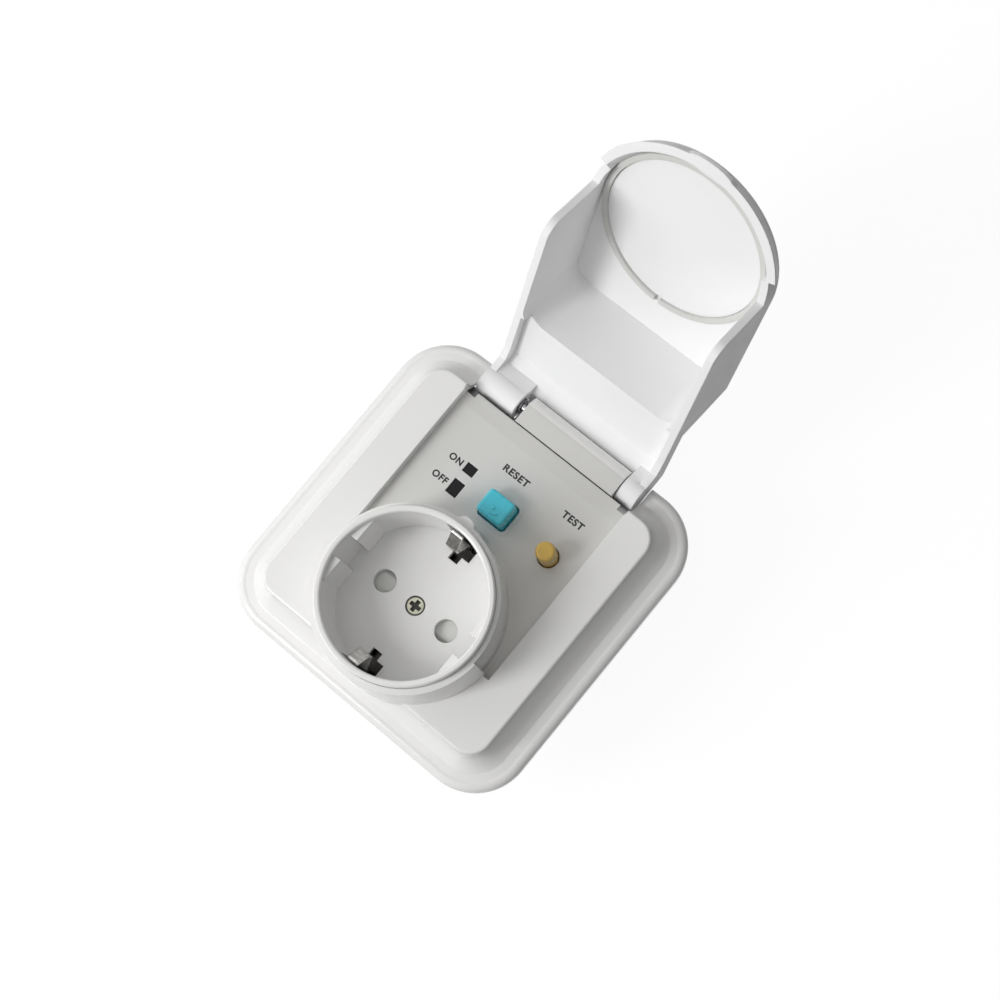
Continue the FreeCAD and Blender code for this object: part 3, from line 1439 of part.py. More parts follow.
def make_reset_spring():
    height = float(carrier_low() - S.board_top) - 0.1
    made = feature("reset_spring", spring(2.0, 0.5, 6.0, height))
    made.Placement = FreeCAD.Placement(V(*numbers(S.reset_x, S.carrier_y, S.board_top + 0.05)),
                                       FreeCAD.Rotation())


def make_test_spring():
    height = float(flange_top - S.flange_thickness - deck_top) - 0.1
    made = feature("test_spring", spring(2.3, float(S.fine_wire), 3.0, height))
    made.Placement = FreeCAD.Placement(V(*numbers(S.test_x, S.test_y, deck_top + 0.05)),
                                       FreeCAD.Rotation())


# Circuit board and what stands on it

def make_circuit_board():
    board = block((-board_half, board_half), (S.board_low, S.board_high),
                  (board_underside, S.board_top))
    gap = S.lever_width / 2 + 0.3
    slot = block((S.trip_x - gap, S.trip_x + gap), (S.lever_y - 1.8, S.lever_y + 2.2),
                 (board_underside - 1, S.board_top + 1))
    holes = [rod("Z", (x, S.core_y), S.conductor_radius + 0.1, board_underside - 1,
                 S.board_top + 1) for x in conductor_places()]
    piece("circuit_board", [board], [slot] + holes)


def conductor_places():
    return [S.core_x - S.conductor_spread, S.core_x + S.conductor_spread]


def make_test_leaf():
    top = 0.2 - S.test_travel - 0.3
    low_y, high_y = S.test_y - 7.2, S.test_y + 1.6
    x = (S.test_x - 1.0, S.test_x + 1.0)
    piece("test_contact_leaf", [
        block(x, (low_y, high_y), (top - 0.4, top)),
        block(x, (low_y, low_y + 0.5), (S.board_top, top))])


def make_test_resistor():
    x, lead, top = S.resistor_x, S.lead_radius, S.board_top
    line = top + S.resistor_radius + 0.4
    half, near = S.resistor_length / 2, S.lead_span / 2
    low, high = S.resistor_y - near, S.resistor_y + near
    ends = [(x, low), (x, high)]
    body_ends = S.resistor_y - half, S.resistor_y + half
    legs = [rod("Z", end, lead, board_underside, line + lead) for end in ends]
    holes = [rod("Z", end, lead + 0.2, board_underside - 1, top) for end in ends]
    piece("test_resistor", [rod("Y", (x, line), S.resistor_radius, *body_ends),
                            rod("Y", (x, line), lead, low, high)] + legs, holes)


def make_board_components():
    top = S.board_top
    wide, long = S.chip_width / 2, S.chip_length / 2
    chip = block((S.chip_x - wide, S.chip_x + wide), (S.chip_y - long, S.chip_y + long),
                 (top, top + S.chip_height))
    drum = rod("Z", (S.drum_x, S.drum_y), S.drum_radius, top, top + S.drum_height)
    half = S.disc_thickness / 2
    disc = rod("Y", (S.disc_x, top + S.drum_radius), S.drum_radius,
               S.disc_y - half, S.disc_y + half)
    piece("board_components", [chip, drum, disc])


# Current transformer

def make_transformer():
    spot = (S.core_x, S.core_y)
    top, low = S.core_top, S.core_top - S.core_height
    piece("transformer_core",
          [rod("Z", spot, S.core_outer_radius, low, top)],
          [rod("Z", spot, S.core_inner_radius, low - 1, top + 1)])
    build = S.winding_build
    inner = S.core_inner_radius - build
    outer = S.core_outer_radius + build
    piece("transformer_winding",
          [rod("Z", spot, outer, low - build, top + build)],
          [rod("Z", spot, inner, low - 2, top + 2),
           joined_ring(spot, low, top),
           block((S.core_x - 10, S.core_x + 10), (S.core_y - 1.5, S.core_y + 10),
                 (low - 2, top + 2))])


def joined_ring(spot, low, top):
    """The space that the core fills inside its winding."""
    made = doc.addObject("Part::Cut", fresh("core_space"))
    made.Base = rod("Z", spot, S.core_outer_radius, low, top)
    made.Tool = rod("Z", spot, S.core_inner_radius, low - 1, top + 1)
    return made


def bent_wire(points, radius, bend):
    """A round wire through three points with one tangent arc."""
    first, corner, last = points
    back, ahead = first - corner, last - corner
    back.normalize()
    ahead.normalize()
    half_turn = (math.pi - back.getAngle(ahead)) / 2
    reach = bend * math.tan(half_turn)
    start, end = corner + back * reach, corner + ahead * reach
    inward = back + ahead
    inward.normalize()
    centre = corner + inward * (bend / math.cos(half_turn))
    middle = centre - inward * bend
    path = Part.Wire([Part.LineSegment(first, start).toShape(),
                      Part.Arc(start, middle, end).toShape(),
                      Part.LineSegment(end, last).toShape()])
    section = Part.Wire([Part.Circle(first, back, radius).toShape()])
    return path.makePipeShell([section], True, False)


def make_primary_conductors():
    run = float(S.conductor_run_height)
    top = float(S.board_top)
    face = float(S.terminal_low + S.terminal_depth)
    wires = []
    for x, side in zip(conductor_places(), (-1, 1)):
        spot = V(*numbers(x, S.core_y), 0)
        goal = V(side * float(S.terminal_pitch), face, run)
        points = [spot + V(0, 0, top), spot + V(0, 0, run), goal]
        wires.append(bent_wire(points, float(S.conductor_radius), 2.5))
    wide, deep = 2 * float(S.terminal_pitch), 2 * float(S.terminal_depth)
    tidy = Part.makeBox(2 * wide, deep, deep, V(-wide, face - deep, run - deep / 2))
    feature("primary_conductors", Part.Compound([one.cut(tidy) for one in wires]))


# Trip

def make_trip():
    x, z = S.trip_x, S.trip_height
    low, high, thick = S.yoke_low, S.yoke_high, S.yoke_thickness
    half = S.yoke_width / 2
    base = housing_inside + S.yoke_thickness
    cheek_top = z + S.bobbin_radius + 0.3
    cheeks = [block((x - half, x + half), (start, start + thick), (housing_inside, cheek_top))
              for start in (low, high - thick)]
    piece("trip_yoke",
          [block((x - half, x + half), (low, high), (housing_inside, base))] + cheeks,
          [rod("Y", (x, z), S.bobbin_bore + 0.1, low - 1, high + 1)])
    start, end, flange = low + thick, high - thick, S.bobbin_flange
    piece("trip_bobbin", [
        rod("Y", (x, z), S.bobbin_tube, start, end),
        rod("Y", (x, z), S.bobbin_radius, start, start + flange),
        rod("Y", (x, z), S.bobbin_radius, end - flange, end)],
        [rod("Y", (x, z), S.bobbin_bore, start - 1, end + 1)])
    piece("trip_winding", [rod("Y", (x, z), S.coil_radius, start + flange, end - flange)],
          [rod("Y", (x, z), S.bobbin_tube, start, end)])
    collar = S.plunger_collar_y
    back, front = S.lever_y - 1.1, S.lever_y + 1.1
    piece("trip_plunger", [
        rod("Y", (x, z), S.plunger_radius, low - 1.2, back),
        rod("Y", (x, z), 2.3, collar, back),
        rod("Y", (x, z), S.neck_radius, back, front),
        rod("Y", (x, z), S.plunger_radius, front, front + 1)])


def make_plunger_spring():
    height = float(S.plunger_collar_y - S.yoke_high) - 0.1
    made = feature("plunger_spring", spring(2.0, float(S.fine_wire), 5.0, height))
    start = V(*numbers(S.trip_x, S.yoke_high + 0.05, S.trip_height))
    made.Placement = FreeCAD.Placement(start, FreeCAD.Rotation(X_AXIS, -90))


def make_latch():
    x, y, pivot = S.trip_x, S.lever_y, S.lever_pivot_height
    half, thick = S.lever_width / 2, S.lever_thickness / 2
    low = S.trip_height - 1.8
    notch = S.neck_radius + 0.3
    piece("latch_lever",
          [block((x - half - 0.6, x + half + 0.6), (y - thick, y + thick),
                 (low, board_underside - 1.5)),
           block((x - half, x + half), (y - thick, y + thick), (low, S.lever_top)),
           rod("X", (y, pivot), S.lever_pin_radius + 1.0, x - half, x + half)],
          [block((x - notch, x + notch), (y - 1, y + 1), (low - 1, S.trip_height + 1.2)),
           rod("X", (y, pivot), S.lever_pin_radius + S.pin_fit, x - 3, x + 3)])
    inner, outer = half + 0.3, half + 1.1
    ears = [block((x + one, x + two), (y - 1.2, y + 1.2), (S.board_top, pivot + 1.2))
            for one, two in ((-outer, -inner), (inner, outer))]
    piece("latch_bracket",
          ears + [rod("X", (y, pivot), S.lever_pin_radius, x - outer, x + outer)])


# Terminals

def make_terminals():
    low, high = S.terminal_low, S.terminal_low + S.terminal_depth
    top = housing_inside + S.terminal_height
    half = S.terminal_width / 2
    screws = []
    for index, name in ((-1, "neutral"), (0, "earth"), (1, "live")):
        x = index * S.terminal_pitch
        hole = rod("Z", (x, terminal_middle()), S.clamp_screw_radius + 0.05,
                   housing_inside - 1, housing_inside + S.wire_height)
        wire = rod("Y", (x, wire_line()), S.wire_radius, low - 1, high + 1)
        piece(f"{name}_terminal", [block((x - half, x + half), (low, high),
                                         (housing_inside, top))], [hole, wire])
        screws.append(rod("Z", (x, terminal_middle()), S.clamp_screw_radius,
                          housing_inside - 0.1, housing_inside + S.wire_height - 1.9))
        screws.append(rod("Z", (x, terminal_middle()), S.clamp_head_radius,
                          housing_back + 0.2, housing_inside - 0.1))
    slots = [block((index * S.terminal_pitch - 3, index * S.terminal_pitch + 3),
                   (terminal_middle() - 0.35, terminal_middle() + 0.35),
                   (housing_back - 1, housing_back + 1)) for index in (-1, 0, 1)]
    piece("terminal_screws", screws, slots)


def make_all():
    make_front_cover()
    make_lenses()
    make_socket_cup()
    make_hinge_bracket()
    make_bracket_screws()
    make_hinge_pin()
    make_hinge_spring()
    make_lid()
    make_lid_seal()
    make_reset_button()
    make_test_button()
    make_flag()
    make_mounting_frame()
    make_middle_deck()
    make_frame_screws()
    make_centre_screw()
    make_rear_housing()
    make_earth_bracket()
    make_shutter()
    make_shutter_spring()
    make_pin_contacts()
    make_switch()
    make_carrier()
    make_reset_spring()
    make_test_spring()
    make_circuit_board()
    make_test_leaf()
    make_test_resistor()
    make_board_components()
    make_transformer()
    make_primary_conductors()
    make_trip()
    make_plunger_spring()
    make_latch()
    make_terminals()


def check_document():
    doc.recompute()
    for one in doc.Objects:
        if {"Invalid", "Error"} & set(one.State):
            raise RuntimeError(f"{one.Name} is {one.State}")
    for name, made in PIECES.items():
        if made.Shape.isNull() or not made.Shape.isValid():
            raise RuntimeError(f"{name} has no valid shape")


def write_pieces():
    os.makedirs("parts", exist_ok=True)
    for name, made in PIECES.items():
        if made.Label == name:
            made.Shape.exportStep(f"parts/{name}.step")
            print(f"{name}: {len(made.Shape.Solids)} solids, {made.Shape.Volume:.1f} mm3")


make_all()
check_document()
write_pieces()
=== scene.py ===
import json

import bpy
from mathutils import Matrix, Vector


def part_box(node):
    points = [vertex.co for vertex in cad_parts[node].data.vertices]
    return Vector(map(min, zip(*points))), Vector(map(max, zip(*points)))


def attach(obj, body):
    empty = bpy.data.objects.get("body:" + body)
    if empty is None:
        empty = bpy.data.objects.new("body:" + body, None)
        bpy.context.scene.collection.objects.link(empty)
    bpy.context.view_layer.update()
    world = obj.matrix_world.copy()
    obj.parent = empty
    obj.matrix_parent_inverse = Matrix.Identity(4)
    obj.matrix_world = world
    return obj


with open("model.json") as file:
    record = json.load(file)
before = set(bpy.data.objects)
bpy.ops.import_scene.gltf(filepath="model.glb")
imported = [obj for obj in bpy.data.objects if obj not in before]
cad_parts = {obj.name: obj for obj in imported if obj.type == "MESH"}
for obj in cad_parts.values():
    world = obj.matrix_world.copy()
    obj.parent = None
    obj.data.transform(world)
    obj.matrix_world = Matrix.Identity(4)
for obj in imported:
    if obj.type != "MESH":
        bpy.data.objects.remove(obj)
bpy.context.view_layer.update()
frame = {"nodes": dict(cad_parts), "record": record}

MM = 0.001
NODES = frame["nodes"]

# Camera, solved on the 86 mm plate of the photograph
CAMERA_PLACE = (0.0880218, -0.0172380, 0.4281872)
CAMERA_RIGHT = (0.7642374, 0.6355447, -0.1096541)
CAMERA_DOWN = (0.6108438, -0.7678478, -0.1930793)
CAMERA_AHEAD = (-0.2069082, 0.0805769, -0.9750366)
SENSOR_WIDTH = 36.0
FOCAL_PIXELS = 1804.466
IMAGE_SIDE = 1000
NEAR_CLIP = 0.01

# Places on the CAD part, in metres
PANEL_TOP = 8.2 * MM
PANEL_HEIGHTS = (7.2 * MM, 8.75 * MM)
PANEL_SIDES = (-24.75 * MM, 24.75 * MM)
PANEL_ENDS = (-17.5 * MM, 40 * MM)
PANEL_BLUR = 0.1 * MM
# Painted shade on the earth clips: near black below the first height, fading to the plated
# colour by the second
CLIP_FULL_SHADE_HEIGHT = 11.6 * MM
CLIP_SHADE_END_HEIGHT = 17 * MM
FLOOR_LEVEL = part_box("rear_housing")[0].z

# Floor, world and lamps
FLOOR_SIDE = 3.0
FLOOR_GAP = 0.2 * MM
FLOOR_GREY = 0.36
FLOOR_WHITE_STRENGTH = 1.03
FLOOR_WHITE_SHARE = 0.9
WORLD_TINT = (1.0, 0.995, 0.985)
WORLD_BRIGHT_WAY = (-0.75, -0.35, 0.55)
WORLD_STRENGTHS = (0.05, 0.62)
WORLD_RAMP = (-0.55, 0.72)
LAMP_TARGET = (0, 0, 0.01)

# Colours, linear
WHITE = (0.80, 0.798, 0.79)
# A brighter white of painted light for the lid, standing in for the bounce light inside it
LID_PAINTED_LIGHT_WHITE = (0.87, 0.87, 0.875)
# The cover's white greyed by painted shade, for the recessed panel
PANEL_PAINTED_SHADE_WHITE = (0.62, 0.617, 0.60)
CLIP_DULL = (0.42, 0.41, 0.40)
CLIP_BRIGHT = (0.78, 0.77, 0.75)
# Near black of painted shade, for the earth clips low in their slots
CLIP_PAINTED_SHADE = (0.035, 0.033, 0.032)
ZINC_DULL = (0.40, 0.39, 0.30)
ZINC_BRIGHT = (0.55, 0.54, 0.44)
# Near black of painted shade, for the screw head's cross recess and rim
ZINC_PAINTED_SHADE = (0.05, 0.05, 0.045)

# Skin of the materials
PLASTIC_IOR = 1.5
BEVEL_SAMPLES = 6
FINE_BUMP = 0.01 * MM
WAVE_TO_PITCH = 3.18

# Printed words
CAPITAL_SHARE = 0.70
INK_HEIGHT = 0.012 * MM
INK_WEIGHT = 0.085 * MM
LETTER_SPACING = 1.12
CURVE_STEPS = 6


# Material building blocks

def new_material(name):
    made = bpy.data.materials.new(name)
    made.use_nodes = True
    tree = made.node_tree
    tree.nodes.clear()
    out = tree.nodes.new("ShaderNodeOutputMaterial")
    shader = tree.nodes.new("ShaderNodeBsdfPrincipled")
    tree.links.new(shader.outputs["BSDF"], out.inputs["Surface"])
    return made, tree, shader


def place(tree, stretch=(1, 1, 1)):
    """Object coordinates in metres, stretched."""
    where = tree.nodes.new("ShaderNodeTexCoord")
    grid = tree.nodes.new("ShaderNodeMapping")
    grid.inputs["Scale"].default_value = stretch
    tree.links.new(where.outputs["Object"], grid.inputs["Vector"])
    return grid.outputs["Vector"]


def axis_value(tree, axis):
    """One object coordinate, in metres."""
    where = tree.nodes.new("ShaderNodeTexCoord")
    parts = tree.nodes.new("ShaderNodeSeparateXYZ")
    tree.links.new(where.outputs["Object"], parts.inputs["Vector"])
    return parts.outputs[axis]


def noise(tree, vector, size, detail=4.0):
    """Noise whose features are about size metres across."""
    made = tree.nodes.new("ShaderNodeTexNoise")
    made.inputs["Scale"].default_value = 1.0 / size
    made.inputs["Detail"].default_value = detail
    made.inputs["Roughness"].default_value = 0.55
    tree.links.new(vector, made.inputs["Vector"])
    return made.outputs["Fac"]


def ranged(tree, value, low, high, start=0.3, end=0.7):
    """The value's range from start to end, mapped to low to high."""
    made = tree.nodes.new("ShaderNodeMapRange")
    made.inputs["From Min"].default_value = start
    made.inputs["From Max"].default_value = end
    made.inputs["To Min"].default_value = low
    made.inputs["To Max"].default_value = high
    tree.links.new(value, made.inputs["Value"])
    return made.outputs["Result"]


def math_node(tree, operation, first, second):
    made = tree.nodes.new("ShaderNodeMath")
    made.operation = operation
    tree.links.new(first, made.inputs[0])
    tree.links.new(second, made.inputs[1])
    return made.outputs[0]


def times(tree, first, second):
    return math_node(tree, "MULTIPLY", first, second)


def window(tree, value, limits, soft):
    """1 where value lies between the limits, with soft ends."""
    low, high = limits
    rise = ranged(tree, value, 0, 1, low - soft, low + soft)
    fall = ranged(tree, value, 1, 0, high - soft, high + soft)
    return times(tree, rise, fall)


def blend_colours(tree, factor, first, second):
    """A mix of two colours, each one a colour's three numbers or a socket."""
    made = tree.nodes.new("ShaderNodeMix")
    made.data_type = "RGBA"
    for socket, colour in (("A", first), ("B", second)):
        if isinstance(colour, tuple):
            made.inputs[socket].default_value = (*colour, 1.0)
        else:
            tree.links.new(colour, made.inputs[socket])
    tree.links.new(factor, made.inputs["Factor"])
    return made.outputs["Result"]


def shaded(colour, factor):
    return tuple(one * factor for one in colour)


def bevelled_bump(tree, shader, height, strength, distance, radius):
    """Softened edges, with a fine bump on top."""
    bump = tree.nodes.new("ShaderNodeBump")
    bump.inputs["Strength"].default_value = strength
    bump.inputs["Distance"].default_value = distance
    tree.links.new(height, bump.inputs["Height"])
    if radius:
        edge = tree.nodes.new("ShaderNodeBevel")
        edge.samples = BEVEL_SAMPLES
        edge.inputs["Radius"].default_value = radius
        tree.links.new(edge.outputs["Normal"], bump.inputs["Normal"])
    tree.links.new(bump.outputs["Normal"], shader.inputs["Normal"])


# Materials

def plastic(name, colour, roughness=0.3, coat=0.0, grain=0.15 * MM, edge=0.25 * MM,
            mottle=0.03, bump=0.12, specular=0.5):
    """Moulded plastic: faint flow marks, a fine skin and rounded edges."""
    made, tree, shader = new_material(name)
    vector = place(tree)
    flow = noise(tree, vector, 14 * MM, detail=3)
    skin = noise(tree, vector, grain, detail=2)
    smear = noise(tree, vector, 5 * MM, detail=5)
    tone = blend_colours(tree, ranged(tree, flow, 0, 1), shaded(colour, 1 - mottle), colour)
    tree.links.new(tone, shader.inputs["Base Color"])
    tree.links.new(ranged(tree, smear, roughness * 0.85, roughness * 1.15),
                   shader.inputs["Roughness"])
    shader.inputs["IOR"].default_value = PLASTIC_IOR
    shader.inputs["Specular IOR Level"].default_value = specular
    shader.inputs["Coat Weight"].default_value = coat
    shader.inputs["Coat Roughness"].default_value = 0.06
    bevelled_bump(tree, shader, skin, bump, FINE_BUMP, edge)
    return made


def metal(name, colour, roughness=0.3, brush=(1, 1, 1), grain=0.3 * MM):
    """Bare or plated metal: drawn lines, cloudy tarnish and broken edges."""
    made, tree, shader = new_material(name)
    lines = noise(tree, place(tree, brush), grain, detail=6)
    cloud = noise(tree, place(tree), 2.5 * MM, detail=4)
    tone = blend_colours(tree, ranged(tree, cloud, 0, 1), shaded(colour, 0.75), colour)
    tree.links.new(tone, shader.inputs["Base Color"])
    shader.inputs["Metallic"].default_value = 1.0
    tree.links.new(ranged(tree, lines, roughness * 0.7, roughness * 1.3),
                   shader.inputs["Roughness"])
    bevelled_bump(tree, shader, lines, 0.25, FINE_BUMP, 0.1 * MM)
    return made


def wound(name, colour, axis, pitch, roughness=0.35):
    """Enamelled wire laid side by side: ridges across one axis, with painted shade darkening
    the grooves between turns.
    """
    made, tree, shader = new_material(name)
    vector = place(tree)
    turns = tree.nodes.new("ShaderNodeTexWave")
    turns.wave_type = "BANDS"
    turns.bands_direction = axis
    turns.inputs["Scale"].default_value = 1.0 / (pitch * WAVE_TO_PITCH)
    turns.inputs["Distortion"].default_value = 0.4
    turns.inputs["Detail"].default_value = 1.0
    tree.links.new(vector, turns.inputs["Vector"])
    ridge = turns.outputs["Fac"]
    # Painted shade: the colour darkens with the bump height, into the grooves between turns
    tone = blend_colours(tree, ridge, shaded(colour, 0.35), colour)
    tree.links.new(tone, shader.inputs["Base Color"])
    shader.inputs["Metallic"].default_value = 0.6
    cloud = noise(tree, vector, 1.5 * MM)
    tree.links.new(ranged(tree, cloud, roughness * 0.8, roughness * 1.3),
                   shader.inputs["Roughness"])
    bevelled_bump(tree, shader, ridge, 0.8, 0.08 * MM, 0.0)
    return made


def circuit(name, colour):
    """Solder mask over a grid of lighter tracks."""
    made, tree, shader = new_material(name)
    vector = place(tree)
    tracks = tree.nodes.new("ShaderNodeTexBrick")
    tracks.inputs["Scale"].default_value = 1.0 / (9 * MM)
    tracks.inputs["Mortar Size"].default_value = 0.035
    for socket, factor in (("Color1", 1.0), ("Color2", 0.8), ("Mortar", 1.9)):
        tracks.inputs[socket].default_value = (*shaded(colour, factor), 1.0)
    tree.links.new(vector, tracks.inputs["Vector"])
    tree.links.new(tracks.outputs["Color"], shader.inputs["Base Color"])
    cloud = noise(tree, vector, 1.2 * MM)
    tree.links.new(ranged(tree, cloud, 0.28, 0.42), shader.inputs["Roughness"])
    bevelled_bump(tree, shader, tracks.outputs["Fac"], 0.4, 0.03 * MM, 0.1 * MM)
    return made


def cover_plastic(name):
    """Glossy white moulding whose recessed panel is greyed by painted shade and has a rougher,
    satin skin.
    """
    made, tree, shader = new_material(name)
    vector = place(tree)
    flow = noise(tree, vector, 18 * MM, detail=3)
    skin = noise(tree, vector, 0.12 * MM, detail=2)
    smear = noise(tree, vector, 6 * MM, detail=5)
    panel = window(tree, axis_value(tree, "Z"), PANEL_HEIGHTS, PANEL_BLUR)
    for axis, limits in (("X", PANEL_SIDES), ("Y", PANEL_ENDS)):
        panel = times(tree, panel, window(tree, axis_value(tree, axis), limits, PANEL_BLUR))
    shine = blend_colours(tree, ranged(tree, flow, 0, 1), shaded(WHITE, 0.985), WHITE)
    # Painted shade: the recessed panel's white is greyed for the shade in the recess; its
    # rougher finish below is its satin skin
    tree.links.new(blend_colours(tree, panel, shine, PANEL_PAINTED_SHADE_WHITE), shader.inputs["Base Color"])
    rough = tree.nodes.new("ShaderNodeMix")
    tree.links.new(panel, rough.inputs["Factor"])
    tree.links.new(ranged(tree, smear, 0.17, 0.25), rough.inputs["A"])
    rough.inputs["B"].default_value = 0.42
    tree.links.new(rough.outputs["Result"], shader.inputs["Roughness"])
    shader.inputs["IOR"].default_value = PLASTIC_IOR
    shader.inputs["Coat Weight"].default_value = 0.2
    shader.inputs["Coat Roughness"].default_value = 0.08
    bevelled_bump(tree, shader, skin, 0.05, FINE_BUMP, 0.35 * MM)
    return made


def clip_metal(name):
    """Nickel-plated strip, brighter and duller in random patches, with painted shade that
    turns it near black low down in its slot.
    """
    made, tree, shader = new_material(name)
    lines = noise(tree, place(tree, (10, 1, 10)), 0.4 * MM, detail=6)
    # Painted shade: below a given height the strip fades to near black, for the shadow down in
    # its slot
    clear_of_painted_shade = ranged(tree, axis_value(tree, "Z"), 0, 1, CLIP_FULL_SHADE_HEIGHT, CLIP_SHADE_END_HEIGHT)
    cloud = noise(tree, place(tree), 1.2 * MM, detail=3)
    plated = blend_colours(tree, ranged(tree, cloud, 0, 1), CLIP_DULL, CLIP_BRIGHT)
    tree.links.new(blend_colours(tree, clear_of_painted_shade, CLIP_PAINTED_SHADE, plated), shader.inputs["Base Color"])
    shader.inputs["Metallic"].default_value = 1.0
    tree.links.new(ranged(tree, lines, 0.12, 0.26), shader.inputs["Roughness"])
    bevelled_bump(tree, shader, lines, 0.25, 0.02 * MM, 0.45 * MM)
    return made


def screw_metal(name):
    """Zinc-plated head with painted shade: near black in its cross recess and in a ring at its
    rim.
    """
    made, tree, shader = new_material(name)
    vector = place(tree)
    lines = noise(tree, vector, 0.15 * MM, detail=6)
    cloud = noise(tree, vector, 1.5 * MM, detail=4)
    low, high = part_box("centre_screw")
    middle = (low + high) / 2
    radius = (high.x - low.x) / 2
    flat = tree.nodes.new("ShaderNodeCombineXYZ")
    for axis in "XY":
        tree.links.new(axis_value(tree, axis), flat.inputs[axis])
    far = tree.nodes.new("ShaderNodeVectorMath")
    far.operation = "DISTANCE"
    tree.links.new(flat.outputs["Vector"], far.inputs[0])
    far.inputs[1].default_value = (middle.x, middle.y, 0)
    # Painted shade: dark in a ring at the rim and below the top of the head, where the cross
    # recess lies
    inside_painted_rim_shade = ranged(tree, far.outputs["Value"], 1, 0, radius - 0.45 * MM, radius - 0.2 * MM)
    clear_of_painted_shade = ranged(tree, axis_value(tree, "Z"), 0, 1, high.z - 0.45 * MM, high.z - 0.15 * MM)
    plated = blend_colours(tree, ranged(tree, cloud, 0, 1), ZINC_DULL, ZINC_BRIGHT)
    tone = blend_colours(tree, times(tree, inside_painted_rim_shade, clear_of_painted_shade), ZINC_PAINTED_SHADE, plated)
    tree.links.new(tone, shader.inputs["Base Color"])
    shader.inputs["Metallic"].default_value = 1.0
    tree.links.new(ranged(tree, lines, 0.22, 0.42), shader.inputs["Roughness"])
    bevelled_bump(tree, shader, lines, 0.25, FINE_BUMP, 0.15 * MM)
    return made


# Each material slot of the record: how it is made, its colour and its settings
SLOTS = {
    "white_gloss": (cover_plastic, {}),
    "smoked_lens": (plastic, dict(colour=(0.012, 0.012, 0.014), roughness=0.15, mottle=0.3,
                                  specular=0.2)),
    "seal_rubber": (plastic, dict(colour=(0.64, 0.64, 0.62), roughness=0.5, grain=0.1 * MM,
                                  bump=0.3)),
    "screw_steel": (metal, dict(colour=(0.60, 0.60, 0.52), roughness=0.32, grain=0.15 * MM)),
    "pin_steel": (metal, dict(colour=(0.52, 0.52, 0.54), roughness=0.25, brush=(1, 8, 8))),
    "spring_steel": (metal, dict(colour=(0.36, 0.36, 0.38), grain=0.2 * MM)),
    "turquoise_plastic": (plastic, dict(colour=(0.062, 0.62, 0.76), roughness=0.28, coat=0.15,
                                        edge=0.4 * MM, mottle=0.10, bump=0.2)),
    "yellow_plastic": (plastic, dict(colour=(0.62, 0.40, 0.07), coat=0.1, edge=0.3 * MM,
                                     mottle=0.12, bump=0.2)),
    "black_plastic": (plastic, dict(colour=(0.014, 0.014, 0.015), roughness=0.5, mottle=0.25,
                                    bump=0.3)),
    "plated_steel": (metal, dict(colour=(0.62, 0.63, 0.62), roughness=0.35,
                                 brush=(1, 10, 10))),
    "grey_plastic": (plastic, dict(colour=(0.20, 0.21, 0.22), roughness=0.5, mottle=0.12,
                                   bump=0.3)),
    "housing_plastic": (plastic, dict(colour=(0.74, 0.74, 0.72), roughness=0.42, mottle=0.05,
                                      bump=0.35, grain=0.25 * MM)),
    "nickel_clip": (clip_metal, {}),
    "shutter_plastic": (plastic, dict(colour=(0.72, 0.72, 0.70), roughness=0.45, mottle=0.08,
                                      bump=0.3)),
    "contact_brass": (metal, dict(colour=(0.70, 0.50, 0.20), roughness=0.28,
                                  brush=(6, 1, 6))),
    "silver_contact": (metal, dict(colour=(0.85, 0.84, 0.80), roughness=0.2)),
    "board_green": (circuit, dict(colour=(0.02, 0.16, 0.07))),
    "resistor_body": (plastic, dict(colour=(0.10, 0.28, 0.45), roughness=0.35, mottle=0.2)),
    "component_black": (plastic, dict(colour=(0.02, 0.02, 0.022), roughness=0.45, mottle=0.3,
                                      bump=0.4)),
    "core_grey": (plastic, dict(colour=(0.09, 0.09, 0.10), roughness=0.6, mottle=0.3, bump=0.6,
                                grain=0.3 * MM)),
    "copper_wire": (wound, dict(colour=(0.62, 0.22, 0.09), axis="Y", pitch=0.35 * MM)),
    "bobbin_plastic": (plastic, dict(colour=(0.03, 0.03, 0.035), roughness=0.4, mottle=0.2)),
    "terminal_brass": (metal, dict(colour=(0.66, 0.46, 0.17), brush=(1, 6, 6))),
}


def dress_nodes():
    made = {slot: build(slot, **settings) for slot, (build, settings) in SLOTS.items()}
    for entry in frame["record"]["subparts"]:
        node = NODES[entry["node"]]
        node.data.materials.clear()
        node.data.materials.append(made[entry["material_slot"]])
    # Two nodes whose skin differs from the rest of their slot: the lid is painted a brighter
    # white, painted light for the bounce inside it, with weak specular, and the centre screw
    # head carries painted shade
    lid = plastic("lid_white_painted_light", LID_PAINTED_LIGHT_WHITE, 0.4, grain=0.12 * MM, edge=0.35 * MM,
                  mottle=0.015, bump=0.05, specular=0.1)
    for name, skin in (("lid", lid), ("centre_screw", screw_metal("screw_head_painted_shade"))):
        NODES[name].data.materials[0] = skin
    return made


# Printed words on the panel

def printed(material, text, left, low, high, stretch=1.0):
    """A word of flat ink on the panel, whose capitals run from low to high."""
    curve = bpy.data.curves.new(f"print_{text}", "FONT")
    curve.body = text
    curve.space_character = LETTER_SPACING
    curve.size = (high - low) / CAPITAL_SHARE
    curve.extrude = INK_HEIGHT / 2
    curve.offset = INK_WEIGHT
    curve.resolution_u = CURVE_STEPS
    word = bpy.data.objects.new(f"print_{text}", curve)
    bpy.context.scene.collection.objects.link(word)
    word.location = (left, low, PANEL_TOP + INK_HEIGHT)
    word.scale = (stretch, 1.0, 1.0)
    curve.materials.append(material)
    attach(word, "base")


